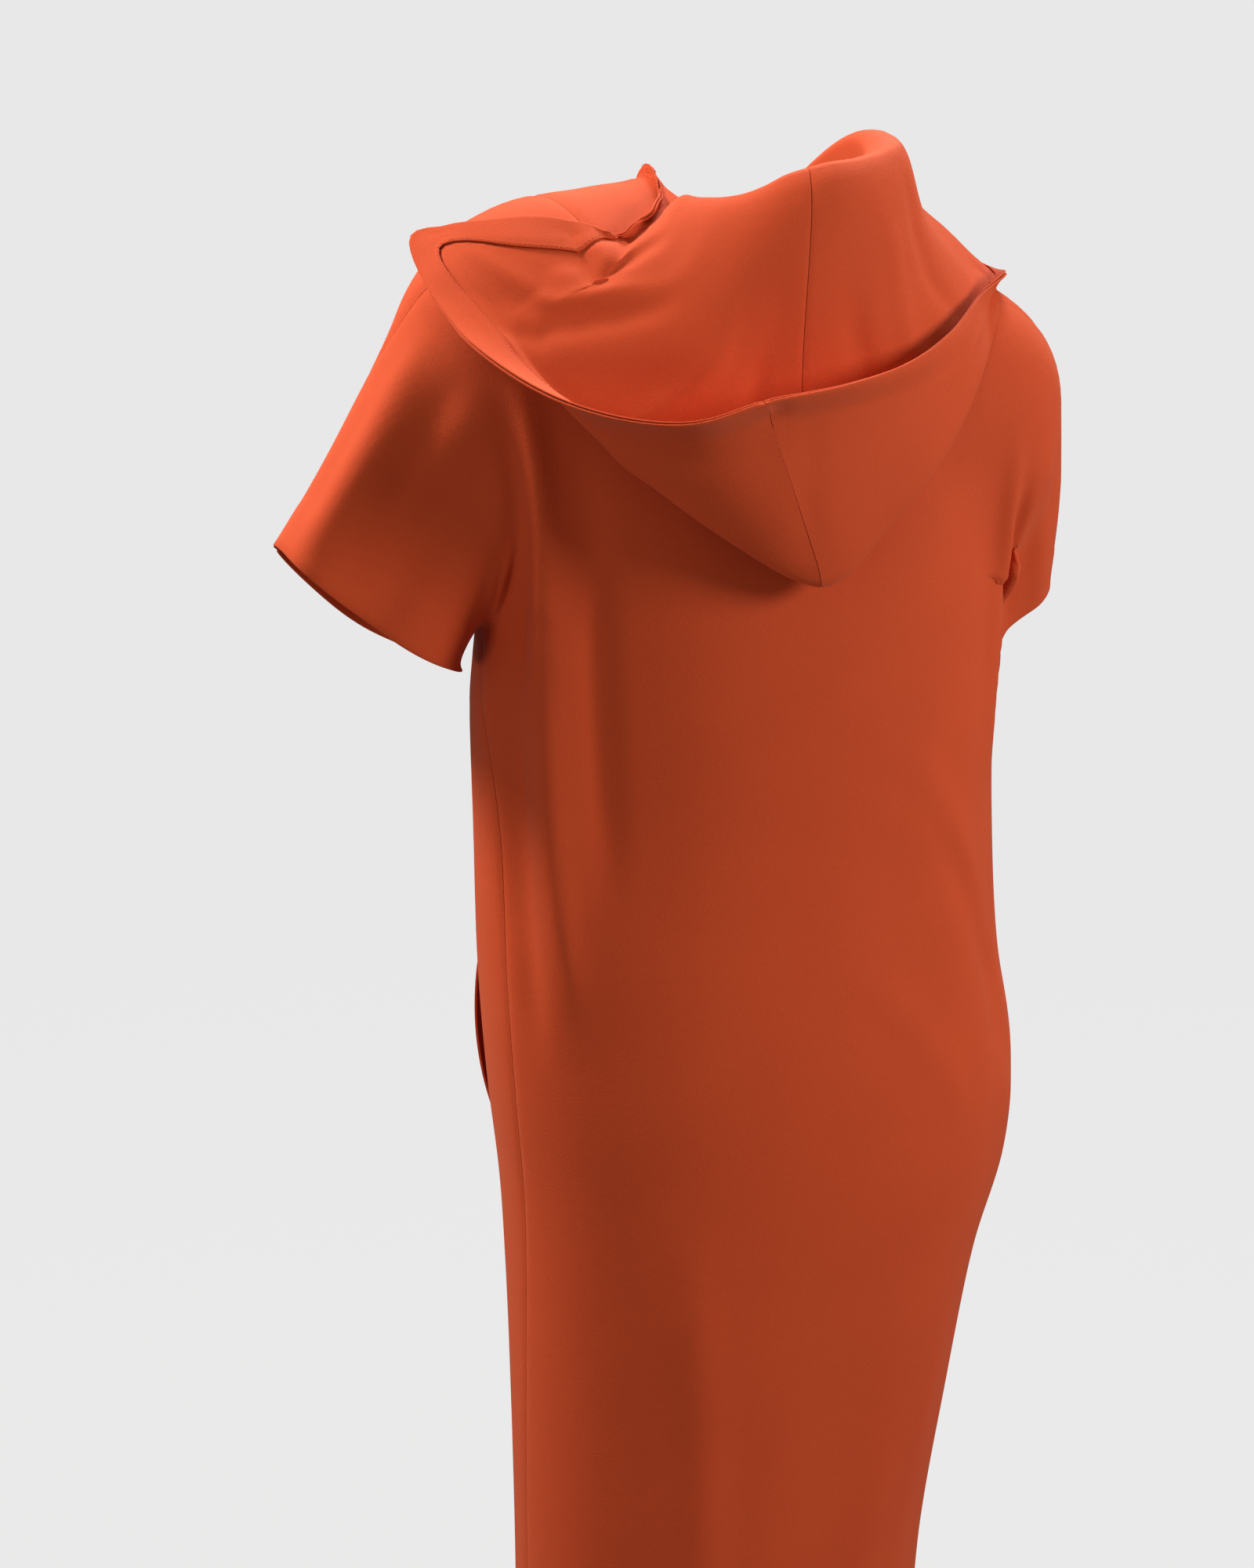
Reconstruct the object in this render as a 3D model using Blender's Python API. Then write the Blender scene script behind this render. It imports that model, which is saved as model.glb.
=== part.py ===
"""Hoodie dress: a column dress with grown-on short sleeves, princess seams with hip pockets in front, and a wide
two-piece hood laid down on the back. Metres, +Z up. The dress's own left side is +X and its back is +Y. The origin is
the middle of the neck opening at shoulder height, from which the dress hangs."""
import math

import bmesh
import bpy
import numpy as np

# ---------------------------------------------------------------- driving sizes, in metres
CLOTH = 0.0015          # one layer of crepe with its turnings, as built
SEAM_GAP = 0.00036      # between two pieces at a seam
HEM_Z = -1.20           # lower edge of the skirt
UNDERARM_Z = -0.275     # where sleeve and side seam meet
POCKET_TOP, POCKET_END = -0.490, -0.615     # mouth of the hip pocket, in the princess seam
POCKET_GAPE, POCKET_PART = 0.0075, 0.0022   # how far its front edge stands out, and draws back
CLEAR = 0.0024          # air between the laid-down hood and the dress under it
CASING, CASING_CLOTH = 0.030, 0.0011        # the turned casing along the hood's face edge, its depth and thickness
PRINCESS_TOP = 0.585                        # where the princess seam meets the shoulder seam, as a share of its edge
# the lengthwise seams: the princess seam as a share of the half front, and how far behind the widest point the side
# seam sits, in degrees
SEAM_COLUMNS = ("z", "princess_share", "side_deg")
SEAMS = [(-0.20, 0.50, 4.0), (-0.28, 0.52, 8.0), (-0.38, 0.60, 13.0), (-0.47, 0.670, 15.0), (-0.56, 0.700, 14.5),
         (-0.66, 0.690, 12.0), (-0.85, 0.63, 6.0), (-1.20, 0.60, 3.0)]
# heights of the crosswise rows of points below the underarm
LOWER_ROWS = [-0.315, -0.36, -0.41, -0.46, -0.505, -0.54, -0.57, -0.60, -0.635, -0.68, -0.74, -0.82, -0.93, -1.06, -1.20]

# the dress as level sections; a section is a rounded oval with a front and a back depth
BODY_COLUMNS = ("z", "half_width", "front", "back", "centre_x", "centre_y", "square")
BODY = [
    (0.080, 0.192, 0.100, 0.110, 0.014, 0.000, 2.30),
    (-0.100, 0.184, 0.110, 0.118, 0.004, 0.000, 2.30),
    (-0.200, 0.182, 0.120, 0.120, -0.001, 0.000, 2.25),
    (-0.300, 0.185, 0.121, 0.118, -0.001, 0.000, 2.20),
    (-0.400, 0.186, 0.115, 0.114, -0.003, 0.000, 2.15),
    (-0.500, 0.188, 0.114, 0.118, -0.007, 0.000, 2.15),
    (-0.580, 0.191, 0.117, 0.123, -0.016, 0.000, 2.15),
    (-0.650, 0.185, 0.117, 0.123, -0.018, 0.000, 2.15),
    (-0.720, 0.174, 0.115, 0.119, -0.011, 0.000, 2.15),
    (-0.820, 0.163, 0.111, 0.113, -0.003, 0.000, 2.15),
    (-0.950, 0.152, 0.106, 0.108, 0.006, 0.000, 2.15),
    (-1.200, 0.150, 0.104, 0.108, 0.009, 0.000, 2.15),
]
# the top of the shoulders from right to left, with the left one lifted, and its fall and rounding to the back
SHOULDER_COLUMNS = ("x", "z", "back_fall", "back_round")
SHOULDER = [
    (-0.260, -0.110, 1.00, 0.020), (-0.200, -0.052, 1.00, 0.020), (-0.150, -0.020, 0.95, 0.022),
    (-0.080, 0.012, 0.85, 0.028), (0.000, 0.030, 0.75, 0.035), (0.080, 0.0275, 0.90, 0.020),
    (0.150, 0.0300, 1.20, 0.013), (0.200, 0.0210, 1.27, 0.013), (0.260, -0.045, 1.20, 0.013),
]
SHOULDER_FRONT_R = 0.055                            # how fast the shoulder falls to the front
SHOULDER_Y = -0.010                                 # the ridge of the shoulder

# neckline: its middle, half width, depth behind and in front of the middle
NECK_X, NECK_HALF, NECK_BACK, NECK_FRONT = -0.006, 0.070, 0.070, 0.100
SHOULDER_SEAM_DEG = 50.0                            # where the shoulder seam meets the neckline, from the nape
SHOULDER_SEAM_BOW = 0.026                           # how far the shoulder seam bows to the back on its way
ARM_SEAM_TOP, ARM_SEAM_HEM = 14.0, -22.0            # the seam along the top of the sleeve, in turns from its overarm
ARM_GAP = 0.008                                     # between the side of the body and the inner side of a sleeve's hem

# sleeves: a tube from inside the shoulder to its hem
SLEEVE_COLUMNS = ("side", "start_x", "start_y", "start_z", "out_deg", "fore_deg", "length",
                  "wide_0", "deep_0", "wide_1", "deep_1", "hem_tilt_deg", "bulge", "hem_dip")
SLEEVES = [
    ("left", 0.146, 0.000, -0.098, 35.0, 2.0, 0.186, 0.095, 0.080, 0.073, 0.060, 0.0, -0.0045, 0.06),
    ("right", -0.148, 0.014, -0.118, 18.5, 16.0, 0.160, 0.084, 0.078, 0.059, 0.056, -6.0, 0.004, 0.00),
]
ARM_BLEND, ROOF_BLEND = 0.032, 0.036

# the largest folds of the dress: a soft ridge (+) or trough (-) from one point to another, given as the turn round
# the body from the left side (degrees, 90 is the middle of the back) and the height
FOLD_COLUMNS = ("turn_top", "z_top", "turn_end", "z_end", "half_width", "height")
FOLDS = [
    (30.0, -0.09, 38.0, -0.56, 0.020, 0.0065),
    (20.0, -0.12, 22.0, -0.50, 0.016, -0.0050),
    (52.0, -0.16, 58.0, -0.50, 0.030, -0.0030),
    (150.0, -0.12, 152.0, -0.40, 0.016, 0.0045),
    (160.0, -0.14, 163.0, -0.38, 0.012, -0.0040),
    (112.0, -0.36, 150.0, -0.56, 0.030, 0.0030),
    (126.0, -0.40, 158.0, -0.62, 0.022, -0.0026),
    (62.0, -0.62, 80.0, -1.15, 0.034, 0.0030),
    (104.0, -0.70, 98.0, -1.18, 0.030, -0.0028),
    (140.0, -0.72, 132.0, -1.18, 0.030, 0.0026),
    (232.0, -0.16, 240.0, -0.46, 0.026, 0.0034),
    (306.0, -0.16, 298.0, -0.44, 0.026, 0.0030),
    (270.0, -0.26, 268.0, -0.62, 0.040, -0.0026),
    (300.0, -0.55, 290.0, -1.12, 0.030, 0.0030),
    (240.0, -0.58, 248.0, -1.14, 0.030, 0.0028),
    (268.0, -0.70, 272.0, -1.18, 0.034, -0.0026),
]
# folds of the sleeves: turn from the overarm (degrees, 90 is behind), share of the way to the hem
ARM_FOLD_COLUMNS = ("side", "turn", "from", "to", "half_deg", "height")
ARM_FOLDS = [
    ("left", 80.0, 0.05, 1.3, 30.0, -0.0110),
    ("left", 38.0, 0.15, 1.3, 18.0, 0.0050),
    ("left", 300.0, 0.1, 1.3, 28.0, -0.0060),
    ("left", 250.0, 0.1, 1.3, 20.0, 0.0040),
    ("right", 75.0, 0.1, 1.3, 24.0, -0.0050),
    ("right", 118.0, 0.3, 1.3, 20.0, 0.0050),
    ("right", 290.0, 0.1, 1.3, 26.0, -0.0060),
]

# the hood as lines from the neckline to the face edge. neck_deg: where the line leaves the neckline, from the nape,
# left positive. stand and lean: height and outward lean of its rise. mid: a point on its inner wall, or on the
# shoulder. fold: the lowest fold of the pouch. rim: the face edge.
HOOD_COLUMNS = ("s", "neck_deg", "stand", "lean", "mid_x", "mid_y", "mid_z",
                "fold_x", "fold_y", "fold_z", "rim_x", "rim_y", "rim_z")
HOOD = [
    (-1.00, 177.0, 0.016, 0.000, 0.000, -0.110, -0.034, 0.000, -0.111, -0.026, 0.000, -0.111, -0.018),
    (-0.86, 140.0, 0.009, 0.001, 0.041, -0.079, 0.002, 0.041, -0.079, 0.008, 0.041, -0.079, 0.014),
    (-0.72, 104.0, 0.003, 0.001, 0.063, -0.024, 0.036, 0.063, -0.024, 0.038, 0.063, -0.024, 0.040),
    (-0.60, 76.0, 0.004, 0.003, 0.068, 0.026, 0.024, 0.071, 0.032, 0.020, 0.074, 0.038, 0.015),
    (-0.50, 58.0, 0.006, 0.008, 0.078, 0.056, 0.000, 0.090, 0.066, -0.012, 0.098, 0.062, -0.017),
    (-0.40, 44.0, 0.006, 0.010, 0.086, 0.084, -0.024, 0.130, 0.086, -0.046, 0.150, 0.044, -0.011),
    (-0.355, 38.5, 0.007, 0.011, 0.086, 0.095, -0.038, 0.150, 0.085, -0.056, 0.188, 0.034, -0.011),
    (-0.31, 33.0, 0.008, 0.012, 0.084, 0.104, -0.050, 0.168, 0.084, -0.066, 0.224, 0.004, -0.012),
    (-0.23, 24.0, 0.011, 0.013, 0.074, 0.120, -0.082, 0.172, 0.100, -0.098, 0.206, 0.078, -0.064),
    (-0.15, 16.0, 0.016, 0.014, 0.058, 0.126, -0.108, 0.132, 0.126, -0.148, 0.164, 0.142, -0.104),
    (-0.07, 8.0, 0.023, 0.014, 0.034, 0.128, -0.124, 0.065, 0.139, -0.200, 0.112, 0.178, -0.118),
    (0.00, 0.0, 0.028, 0.014, 0.010, 0.130, -0.130, 0.001, 0.141, -0.231, 0.066, 0.184, -0.106),
    (0.08, -9.0, 0.033, 0.014, -0.020, 0.130, -0.120, -0.043, 0.139, -0.199, 0.012, 0.176, -0.099),
    (0.17, -20.0, 0.037, 0.013, -0.052, 0.126, -0.092, -0.086, 0.130, -0.156, -0.040, 0.154, -0.090),
    (0.27, -34.0, 0.042, 0.012, -0.082, 0.106, -0.054, -0.124, 0.110, -0.104, -0.089, 0.124, -0.073),
    (0.37, -52.0, 0.047, 0.012, -0.104, 0.072, -0.006, -0.156, 0.066, -0.060, -0.136, 0.084, -0.048),
    (0.425, -62.0, 0.047, 0.011, -0.109, 0.050, 0.008, -0.158, 0.044, -0.037, -0.170, 0.056, -0.034),
    (0.48, -74.0, 0.046, 0.010, -0.112, 0.026, 0.020, -0.158, 0.020, -0.014, -0.186, 0.012, -0.034),
    (0.60, -98.0, 0.042, 0.010, -0.108, -0.018, 0.018, -0.146, -0.034, -0.008, -0.166, -0.056, -0.042),
    (0.74, -124.0, 0.034, 0.008, -0.084, -0.062, 0.010, -0.104, -0.080, -0.010, -0.116, -0.096, -0.044),
    (0.88, -152.0, 0.024, 0.004, -0.044, -0.100, -0.014, -0.054, -0.110, -0.026, -0.062, -0.114, -0.046),
    (1.00, -177.0, 0.018, 0.003, -0.011, -0.110, -0.042, -0.012, -0.117, -0.044, -0.014, -0.124, -0.054),
]
# pleats that run from the gathered face edge into the pouch: place along s, half width in s, height, reach in t
PLEAT_COLUMNS = ("s", "half_s", "height", "t_from", "t_full")
PLEATS = [
    (-0.560, 0.020, -0.0035, 0.25, 0.75), (-0.515, 0.020, 0.0050, 0.25, 0.75),
    (-0.472, 0.018, -0.0045, 0.30, 0.80), (-0.432, 0.018, 0.0028, 0.35, 0.85), (-0.400, 0.014, -0.0020, 0.45, 0.90),
]

# resolution of the faceted solids
N_BODY, N_UPPER, N_ARM = 18, 9, 5
N_HOOD_S = 33
HOOD_STEPS, CASING_STEPS = 10, 2


# ---------------------------------------------------------------- small maths
def smooth_rows(rows, at):
    """Values of a table's columns at the places `at` of its first column, through a smooth curve."""
    t = np.array(rows, float)
    if t[0, 0] > t[-1, 0]:
        t = t[::-1]
    x, y = t[:, 0], t[:, 1:]
    d = np.diff(y, axis=0) / np.diff(x)[:, None]
    m = np.vstack([d[:1], (d[1:] + d[:-1]) / 2, d[-1:]])
    at = np.clip(np.asarray(at, float), x[0], x[-1])
    i = np.clip(np.searchsorted(x, at) - 1, 0, len(x) - 2)
    h = (x[i + 1] - x[i])
    q = ((at - x[i]) / h)[..., None]
    h = h[..., None]
    return ((2 * q**3 - 3 * q**2 + 1) * y[i] + (q**3 - 2 * q**2 + q) * h * m[i]
            + (3 * q**2 - 2 * q**3) * y[i + 1] + (q**3 - q**2) * h * m[i + 1])


def smax(a, b, k):
    h = np.maximum(k - np.abs(a - b), 0) / k
    return np.maximum(a, b) + h * h * k / 4


def smin(a, b, k):
    return -smax(-a, -b, k)


def unit(v):
    return v / np.maximum(np.linalg.norm(v, axis=-1, keepdims=True), 1e-12)


def ease(x):
    x = np.clip(x, 0, 1)
    return x * x * (3 - 2 * x)


# ---------------------------------------------------------------- the form the dress takes, as a distance
def column_distance(p):
    a, bf, bb, cx, cy, n = np.moveaxis(smooth_rows(BODY, p[..., 2]), -1, 0)
    dx, dy = p[..., 0] - cx, p[..., 1] - cy
    b = np.where(dy > 0, bb, bf)
    rho = ((np.abs(dx) / a) ** n + (np.abs(dy) / b) ** n) ** (1 / n)
    r = np.hypot(dx, dy)
    return r - r / np.maximum(rho, 1e-6)


def roof_distance(p):
    z, fall, r = np.moveaxis(smooth_rows(SHOULDER, p[..., 0]), -1, 0)
    dy = p[..., 1] - SHOULDER_Y
    drop = np.where(dy > 0, fall * (np.sqrt(r * r + dy * dy) - r), dy**2 / (2 * SHOULDER_FRONT_R))
    return (p[..., 2] - z + drop) * 0.85


def sleeve_frame(row):
    _, x, y, z, out, fore = row[:6]
    side = 1.0 if x > 0 else -1.0
    o, f = math.radians(out), math.radians(fore)
    axis = np.array([side * math.sin(o) * math.cos(f), -math.sin(f), -math.cos(o) * math.cos(f)])
    wide = unit(np.array([side * math.cos(o), 0.0, math.sin(o)]))
    wide = unit(wide - axis * (wide @ axis))
    deep = np.cross(axis, wide) * side
    return np.array([x, y, z]), axis, wide, deep * (1 if deep[1] > 0 else -1)


def sleeve_distance(p, row):
    start, axis, wide, deep = sleeve_frame(row)
    length, w0, d0, w1, d1 = row[6:11]
    bulge = row[12]
    q = p - start
    s = q @ axis
    k = np.clip(s / length, 0, 1.4)
    open_end = 1 - 0.5 * ease((s / length - 1.03) / 0.5)      # below its hem the tube fades into the body
    more = bulge * np.clip(4 * k * (1 - k), 0, 1)
    w, d = (w0 + (w1 - w0) * k + more) * open_end, (d0 + (d1 - d0) * k + more) * open_end
    u, v, back = q @ wide, q @ deep, np.minimum(s, 0)
    r = np.sqrt(u**2 + v**2 + back**2)
    rho = np.sqrt((u / w) ** 2 + (v / d) ** 2 + (back / w0) ** 2)
    return r - r / np.maximum(rho, 1e-6)


def form(p):
    """Below zero inside the worn dress, above zero outside it."""
    f = smax(column_distance(p), roof_distance(p), ROOF_BLEND)
    for row in SLEEVES:
        f = smin(f, sleeve_distance(p, row), ARM_BLEND)
    return f


def slope(fn, p, h=1e-4):
    g = np.zeros_like(p)
    for k in range(3):
        e = np.zeros(3)
        e[k] = h
        g[..., k] = (fn(p + e) - fn(p - e)) / (2 * h)
    return g


def form_slope(p):
    return slope(form, p)


def settle(p, along=None, steps=14, surface=None):
    """Moves points onto the form, freely or only square to the direction(s) `along`."""
    p = p.copy()
    surface = surface or form
    for _ in range(steps):
        f, g = surface(p), slope(surface, p)
        if along is not None:
            g = g - along * (g * along).sum(-1, keepdims=True)
        p -= np.clip(f / np.maximum((g * g).sum(-1), 0.05), -0.02, 0.02)[..., None] * g
    return p


def neck_point(deg):
    """The neckline at a turn from the nape, left positive."""
    a = np.radians(np.asarray(deg, float))
    c = np.cos(a)
    x = NECK_X + NECK_HALF * np.sin(a)
    y = np.where(c > 0, NECK_BACK, NECK_FRONT) * c
    z = np.full_like(x, 0.02)
    p = np.stack([x, y, z], -1)
    for _ in range(14):
        f, g = form(p), slope(form, p)[..., 2]
        p[..., 2] -= np.clip(f / np.maximum(g, 0.2), -0.02, 0.02)
    return p


# ---------------------------------------------------------------- folds
def fold_height(p):
    """Ridges and troughs of the dress at points on the form."""
    a, bf, bb, cx, cy, n = np.moveaxis(smooth_rows(BODY, p[..., 2]), -1, 0)
    dx, dy = (p[..., 0] - cx) / a, (p[..., 1] - cy)
    turn = np.degrees(np.arctan2(dy / np.where(dy > 0, bb, bf), dx)) % 360
    out = np.zeros(p.shape[:-1])
    for t0, z0, t1, z1, half, height in FOLDS:
        k = (p[..., 2] - z0) / (z1 - z0)
        mid = t0 + (t1 - t0) * np.clip(k, 0, 1)
        across = np.radians(turn - mid) * 0.15
        fade = ease(k / 0.22) * ease((1 - k) / 0.30)
        out += height * np.exp(-((across / half) ** 2)) * fade
    keep = ease((-0.03 - p[..., 2]) / 0.06)
    out *= keep
    for row in SLEEVES:
        start, axis, wide, deep = sleeve_frame(row)
        q = p - start
        s = (q @ axis) / row[6]
        turn = np.degrees(np.arctan2(q @ deep, q @ wide)) % 360
        near = ease((s - 0.15) / 0.5) * ease((np.abs(p[..., 0]) - 0.165) / 0.035)
        for side, mid, k0, k1, half, height in ARM_FOLDS:
            if side == row[0]:
                d = (turn - mid + 180) % 360 - 180
                out += height * np.exp(-((d / half) ** 2)) * ease((s - k0) / 0.6) * near
    return out


# ---------------------------------------------------------------- panels of the dress
def arm_turn(share, k, behind):
    """Turn of a column of a sleeve half, from the seam along its top (0) to the one under the arm (1)."""
    top = ARM_SEAM_TOP + (ARM_SEAM_HEM - ARM_SEAM_TOP) * ease(k / 0.4)
    return top + ((180.0 if behind else -180.0) - top) * share


def tube_point(row, turns, s):
    """Points of a sleeve's own tube at turns from its overarm and distances s along it."""
    start, axis, wide, deep = sleeve_frame(row)
    length, w0, d0, w1, d1 = row[6:11]
    bulge = row[12]
    t, kk = np.radians(turns), s / length
    more = bulge * np.clip(4 * kk * (1 - kk), 0, 1)
    w, d = w0 + (w1 - w0) * kk + more, d0 + (d1 - d0) * kk + more
    return start + axis * s[..., None] + wide * (w * np.cos(t))[..., None] + deep * (d * np.sin(t))[..., None]


def arm_ring(row, turns, k):
    """Points of a sleeve: turns from the overarm (degrees, 90 behind), k from the armhole 0 to the hem 1."""
    axis = sleeve_frame(row)[1]
    length, tilt, dip = row[6], row[11], row[13]
    c = np.cos(np.radians(turns))
    low = length * (0.06 + 0.40 * (1 - c) / 2)
    # the armhole follows the line where the tube comes out of the body
    tries = np.linspace(0, length, 80)
    inside = column_distance(tube_point(row, turns[..., None] + 0 * tries, tries + 0 * turns[..., None])) < 0.004
    out = np.max(np.where(inside, tries, 0), axis=-1)
    s0 = smin(smax(low, out, 0.03), length * 0.84 + 0 * low, 0.02)
    s1 = length * (1 + math.tan(math.radians(tilt)) * 0.5 * c + dip * (1 - c * c))
    p = tube_point(row, turns, s0 + (s1 - s0) * k)
    # the upper and outer side lies on the form, the inner side stays a tube that keeps clear of the body
    inner = p.copy()
    for _ in range(10):
        g = slope(column_distance, inner)
        g = unit(g - axis * (g * axis).sum(-1, keepdims=True))
        inner += g * np.maximum(ARM_GAP * k - column_distance(inner), 0)[..., None]
    e = ease((np.abs(turns) - 110) / 50)[..., None]
    return settle(p, along=axis) * (1 - e) + inner * e


def arm_grid(side, behind, n_around, n_along):
    row = SLEEVES[0] if side == "left" else SLEEVES[1]
    q, k = np.linspace(0, 1, n_around + 1), np.linspace(0, 1, n_along + 1)
    grid = np.stack([arm_ring(row, arm_turn(q, v, behind), v) for v in k], 1)      # [around, along]
    weight = (1 - ease(k / 0.5))[None] * (1 - ease((q - 0.5) / 0.25))[:, None]
    folds = (1 - ease((q - 0.55) / 0.25))[:, None] + 0 * k[None]
    return grid, np.stack([weight, folds], -1)


def top_edge(u, behind):
    """The upper edge of the back or front from the right shoulder point (-1) to the left (1)."""
    u = np.asarray(u, float)
    un = 0.36
    out = np.zeros(u.shape + (3,))
    seam = SHOULDER_SEAM_DEG
    for i, v in np.ndenumerate(u):
        side = 1 if v >= 0 else -1
        if abs(v) <= un:
            deg = seam * v / un if behind else side * (180 - (180 - seam) * abs(v) / un)
            out[i] = neck_point(deg)
        else:
            a = neck_point(side * seam)
            row = SLEEVES[0] if side > 0 else SLEEVES[1]
            b = arm_ring(row, np.array([arm_turn(0, 0, behind)]), 0)[0]
            k = (abs(v) - un) / (1 - un)
            out[i] = a + (b - a) * k + np.array([0, SHOULDER_SEAM_BOW * math.sin(math.pi * k), 0])
    line = np.abs(u) > un
    fixed = np.abs(np.abs(u) - 1) < 1e-9
    move = line & ~fixed
    if move.any():
        q = out[move]
        for _ in range(12):
            f, g = form(q), slope(form, q)[..., 2]
            q[..., 2] -= np.clip(f / np.maximum(g, 0.2), -0.02, 0.02)
        out[move] = q
    return out


def section_point(turn, z):
    """A point of the plain level section at a turn (degrees from the left) and a height."""
    a, bf, bb, cx, cy, n = np.moveaxis(smooth_rows(BODY, z), -1, 0)
    t = np.radians(turn)
    c, s = np.cos(t), np.sin(t)
    x = cx + a * np.sign(c) * np.abs(c) ** (2 / n)
    y = cy + np.where(s > 0, bb, bf) * np.sign(s) * np.abs(s) ** (2 / n)
    return np.stack([x, y, z], -1)


def section_turn(p):
    """The turn of a point that lies on the plain section."""
    a, bf, bb, cx, cy, n = np.moveaxis(smooth_rows(BODY, p[..., 2]), -1, 0)
    dx, dy = (p[..., 0] - cx) / a, p[..., 1] - cy
    dy = dy / np.where(dy > 0, bb, bf)
    return np.degrees(np.arctan2(np.sign(dy) * np.abs(dy) ** (n / 2), np.sign(dx) * np.abs(dx) ** (n / 2)))


def side_turn(c, behind, z, corner=None):
    """Turn round the body of a column c of a panel at a height. The front's columns lean with the princess seam. The
    side seams leave from the underarm points `corner` (right, left) and then keep their place behind the widest
    point."""
    share, s = np.moveaxis(smooth_rows(SEAMS, z), -1, 0)
    if corner is not None:
        for k, sign in ((0, -1), (1, 1)):
            at = section_turn(corner[k])
            at = at if sign > 0 else (180 - at + 180) % 360 - 180
            off = at - smooth_rows(SEAMS, corner[k][2])[..., 1]
            s = s + np.where(c * sign > 0, off * np.exp(-(np.minimum(z - corner[k][2], 0) / 0.075) ** 2), 0)
    u = lean(c, share)
    return np.where(behind, 90 - u * (90 - s), 270 + u * (90 + s))


def lean(c, princess):
    """Moves the column at PRINCESS_C to the princess seam's place, and its neighbours with it."""
    a = np.abs(c)
    return np.sign(c) * np.where(a < PRINCESS_C, a * princess / PRINCESS_C,
                                 1 - (1 - a) * (1 - princess) / (1 - PRINCESS_C))


LEVEL = np.array([0.0, 0.0, 1.0])
PRINCESS_C = 0.62


def body_grid(behind, us, n_upper, rows_below=LOWER_ROWS):
    """Points of the back or the front, [across, down]. The first n_upper rows reach the underarm."""
    us = np.asarray(us, float)
    top = top_edge(lean(us, PRINCESS_TOP), behind)
    rows = SLEEVES[1], SLEEVES[0]
    v = np.linspace(0, 1, n_upper + 1)
    edge = [np.stack([arm_ring(r, np.array([arm_turn(q, 0, behind)]), 0)[0] for q in v]) for r in rows]
    low_z = edge[0][-1][2] + (edge[1][-1][2] - edge[0][-1][2]) * (us + 1) / 2
    corner = edge[0][-1], edge[1][-1]
    base = section_point(side_turn(us, behind, low_z, corner), low_z)
    base[np.isclose(us, -1)], base[np.isclose(us, 1)] = edge[0][-1], edge[1][-1]
    # between its four edges, then moved onto the form; towards the underarm onto the body alone
    w = v[None, :, None]
    g = top[:, None] * (1 - w) + base[:, None] * w
    for e, near in ((edge[0], (1 - us) / 2), (edge[1], (1 + us) / 2)):
        g = g + (e[None] - e[0] * (1 - w) - e[-1] * w) * near[:, None, None] ** 2.6
    inner = np.abs(us) < 1 - 1e-9
    part = ease((180 * v - 110) / 50)
    free = g[inner, 1:-1]
    g[inner, 1:-1] = (settle(free) * (1 - part[1:-1, None])
                      + settle(free, surface=column_distance) * part[1:-1, None])
    lower = (np.array(rows_below) - UNDERARM_Z) / (HEM_Z - UNDERARM_Z)
    z = low_z[:, None] + (HEM_Z - low_z[:, None]) * lower[None]
    turn = side_turn(np.broadcast_to(us[:, None], z.shape), behind, z, corner)
    low = section_point(turn, z)
    weight = np.exp(-(((np.abs(g[..., 0]) - 0.17) / 0.07) ** 2)) * (1 - part)
    weight = np.concatenate([weight, np.zeros(z.shape)], 1)
    return np.concatenate([g, low], 1), np.stack([weight, np.ones_like(weight)], -1)


def quads_of(grid, outward=None):
    """Points and quads of a grid, turned so that their normals agree with the directions `outward`."""
    n, m = grid.shape[:2]
    i = np.arange(n * m).reshape(n, m)
    q = np.stack([i[:-1, :-1], i[1:, :-1], i[1:, 1:], i[:-1, 1:]], -1).reshape(-1, 4)
    p = grid.reshape(-1, 3)
    if outward is not None and (face_normals(p, q) * outward(p[q].mean(1))).sum() < 0:
        q = q[:, ::-1]
    return p, q


class Sheet:
    """A welded surface of several labelled patches."""

    def __init__(self):
        self.points, self.faces, self.labels, self.weights = [], [], [], []
        self.count = 0

    def add(self, points, faces, label, weight):
        self.points.append(points)
        self.weights.append(weight.reshape(-1, 2))
        self.faces.append(faces + self.count)
        self.labels += [label] * len(faces) if isinstance(label, str) else list(label)
        self.count += len(points)

    def weld(self, reach=2e-5):
        p, f = np.concatenate(self.points), np.concatenate(self.faces)
        key, first, inverse = np.unique(np.round(p / reach).astype(np.int64), axis=0, return_index=True, return_inverse=True)
        inverse = inverse.reshape(-1)
        weight = np.ones((len(first), 2))
        np.minimum.at(weight, inverse, np.concatenate(self.weights))
        return p[first], inverse[f], np.array(self.labels), weight


def face_normals(p, f):
    return np.cross(p[f[:, 2]] - p[f[:, 0]], p[f[:, 3]] - p[f[:, 1]])


def vertex_normals(p, f):
    n, fn = np.zeros_like(p), face_normals(p, f)
    for k in range(4):
        np.add.at(n, f[:, k], fn)
    return unit(n)


def rim_edges(f):
    e = np.concatenate([f[:, [k, (k + 1) % 4]] for k in range(4)])
    seen = {}
    for a, b in e:
        seen[(int(a), int(b))] = True
    return [(a, b) for a, b in seen if (b, a) not in seen]


def relax(p, f, weight, rounds):
    """Evens a surface where weight is above zero."""
    for _ in range(rounds):
        total, n = np.zeros_like(p), np.zeros(len(p))
        for k in range(4):
            a, b = f[:, k], f[:, (k + 1) % 4]
            np.add.at(total, a, p[b])
            np.add.at(total, b, p[a])
            np.add.at(n, a, 1)
            np.add.at(n, b, 1)
        mean = total / np.maximum(n, 1)[:, None]
        p = p + (mean - p) * (0.5 * weight)[:, None]
    return p


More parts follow.
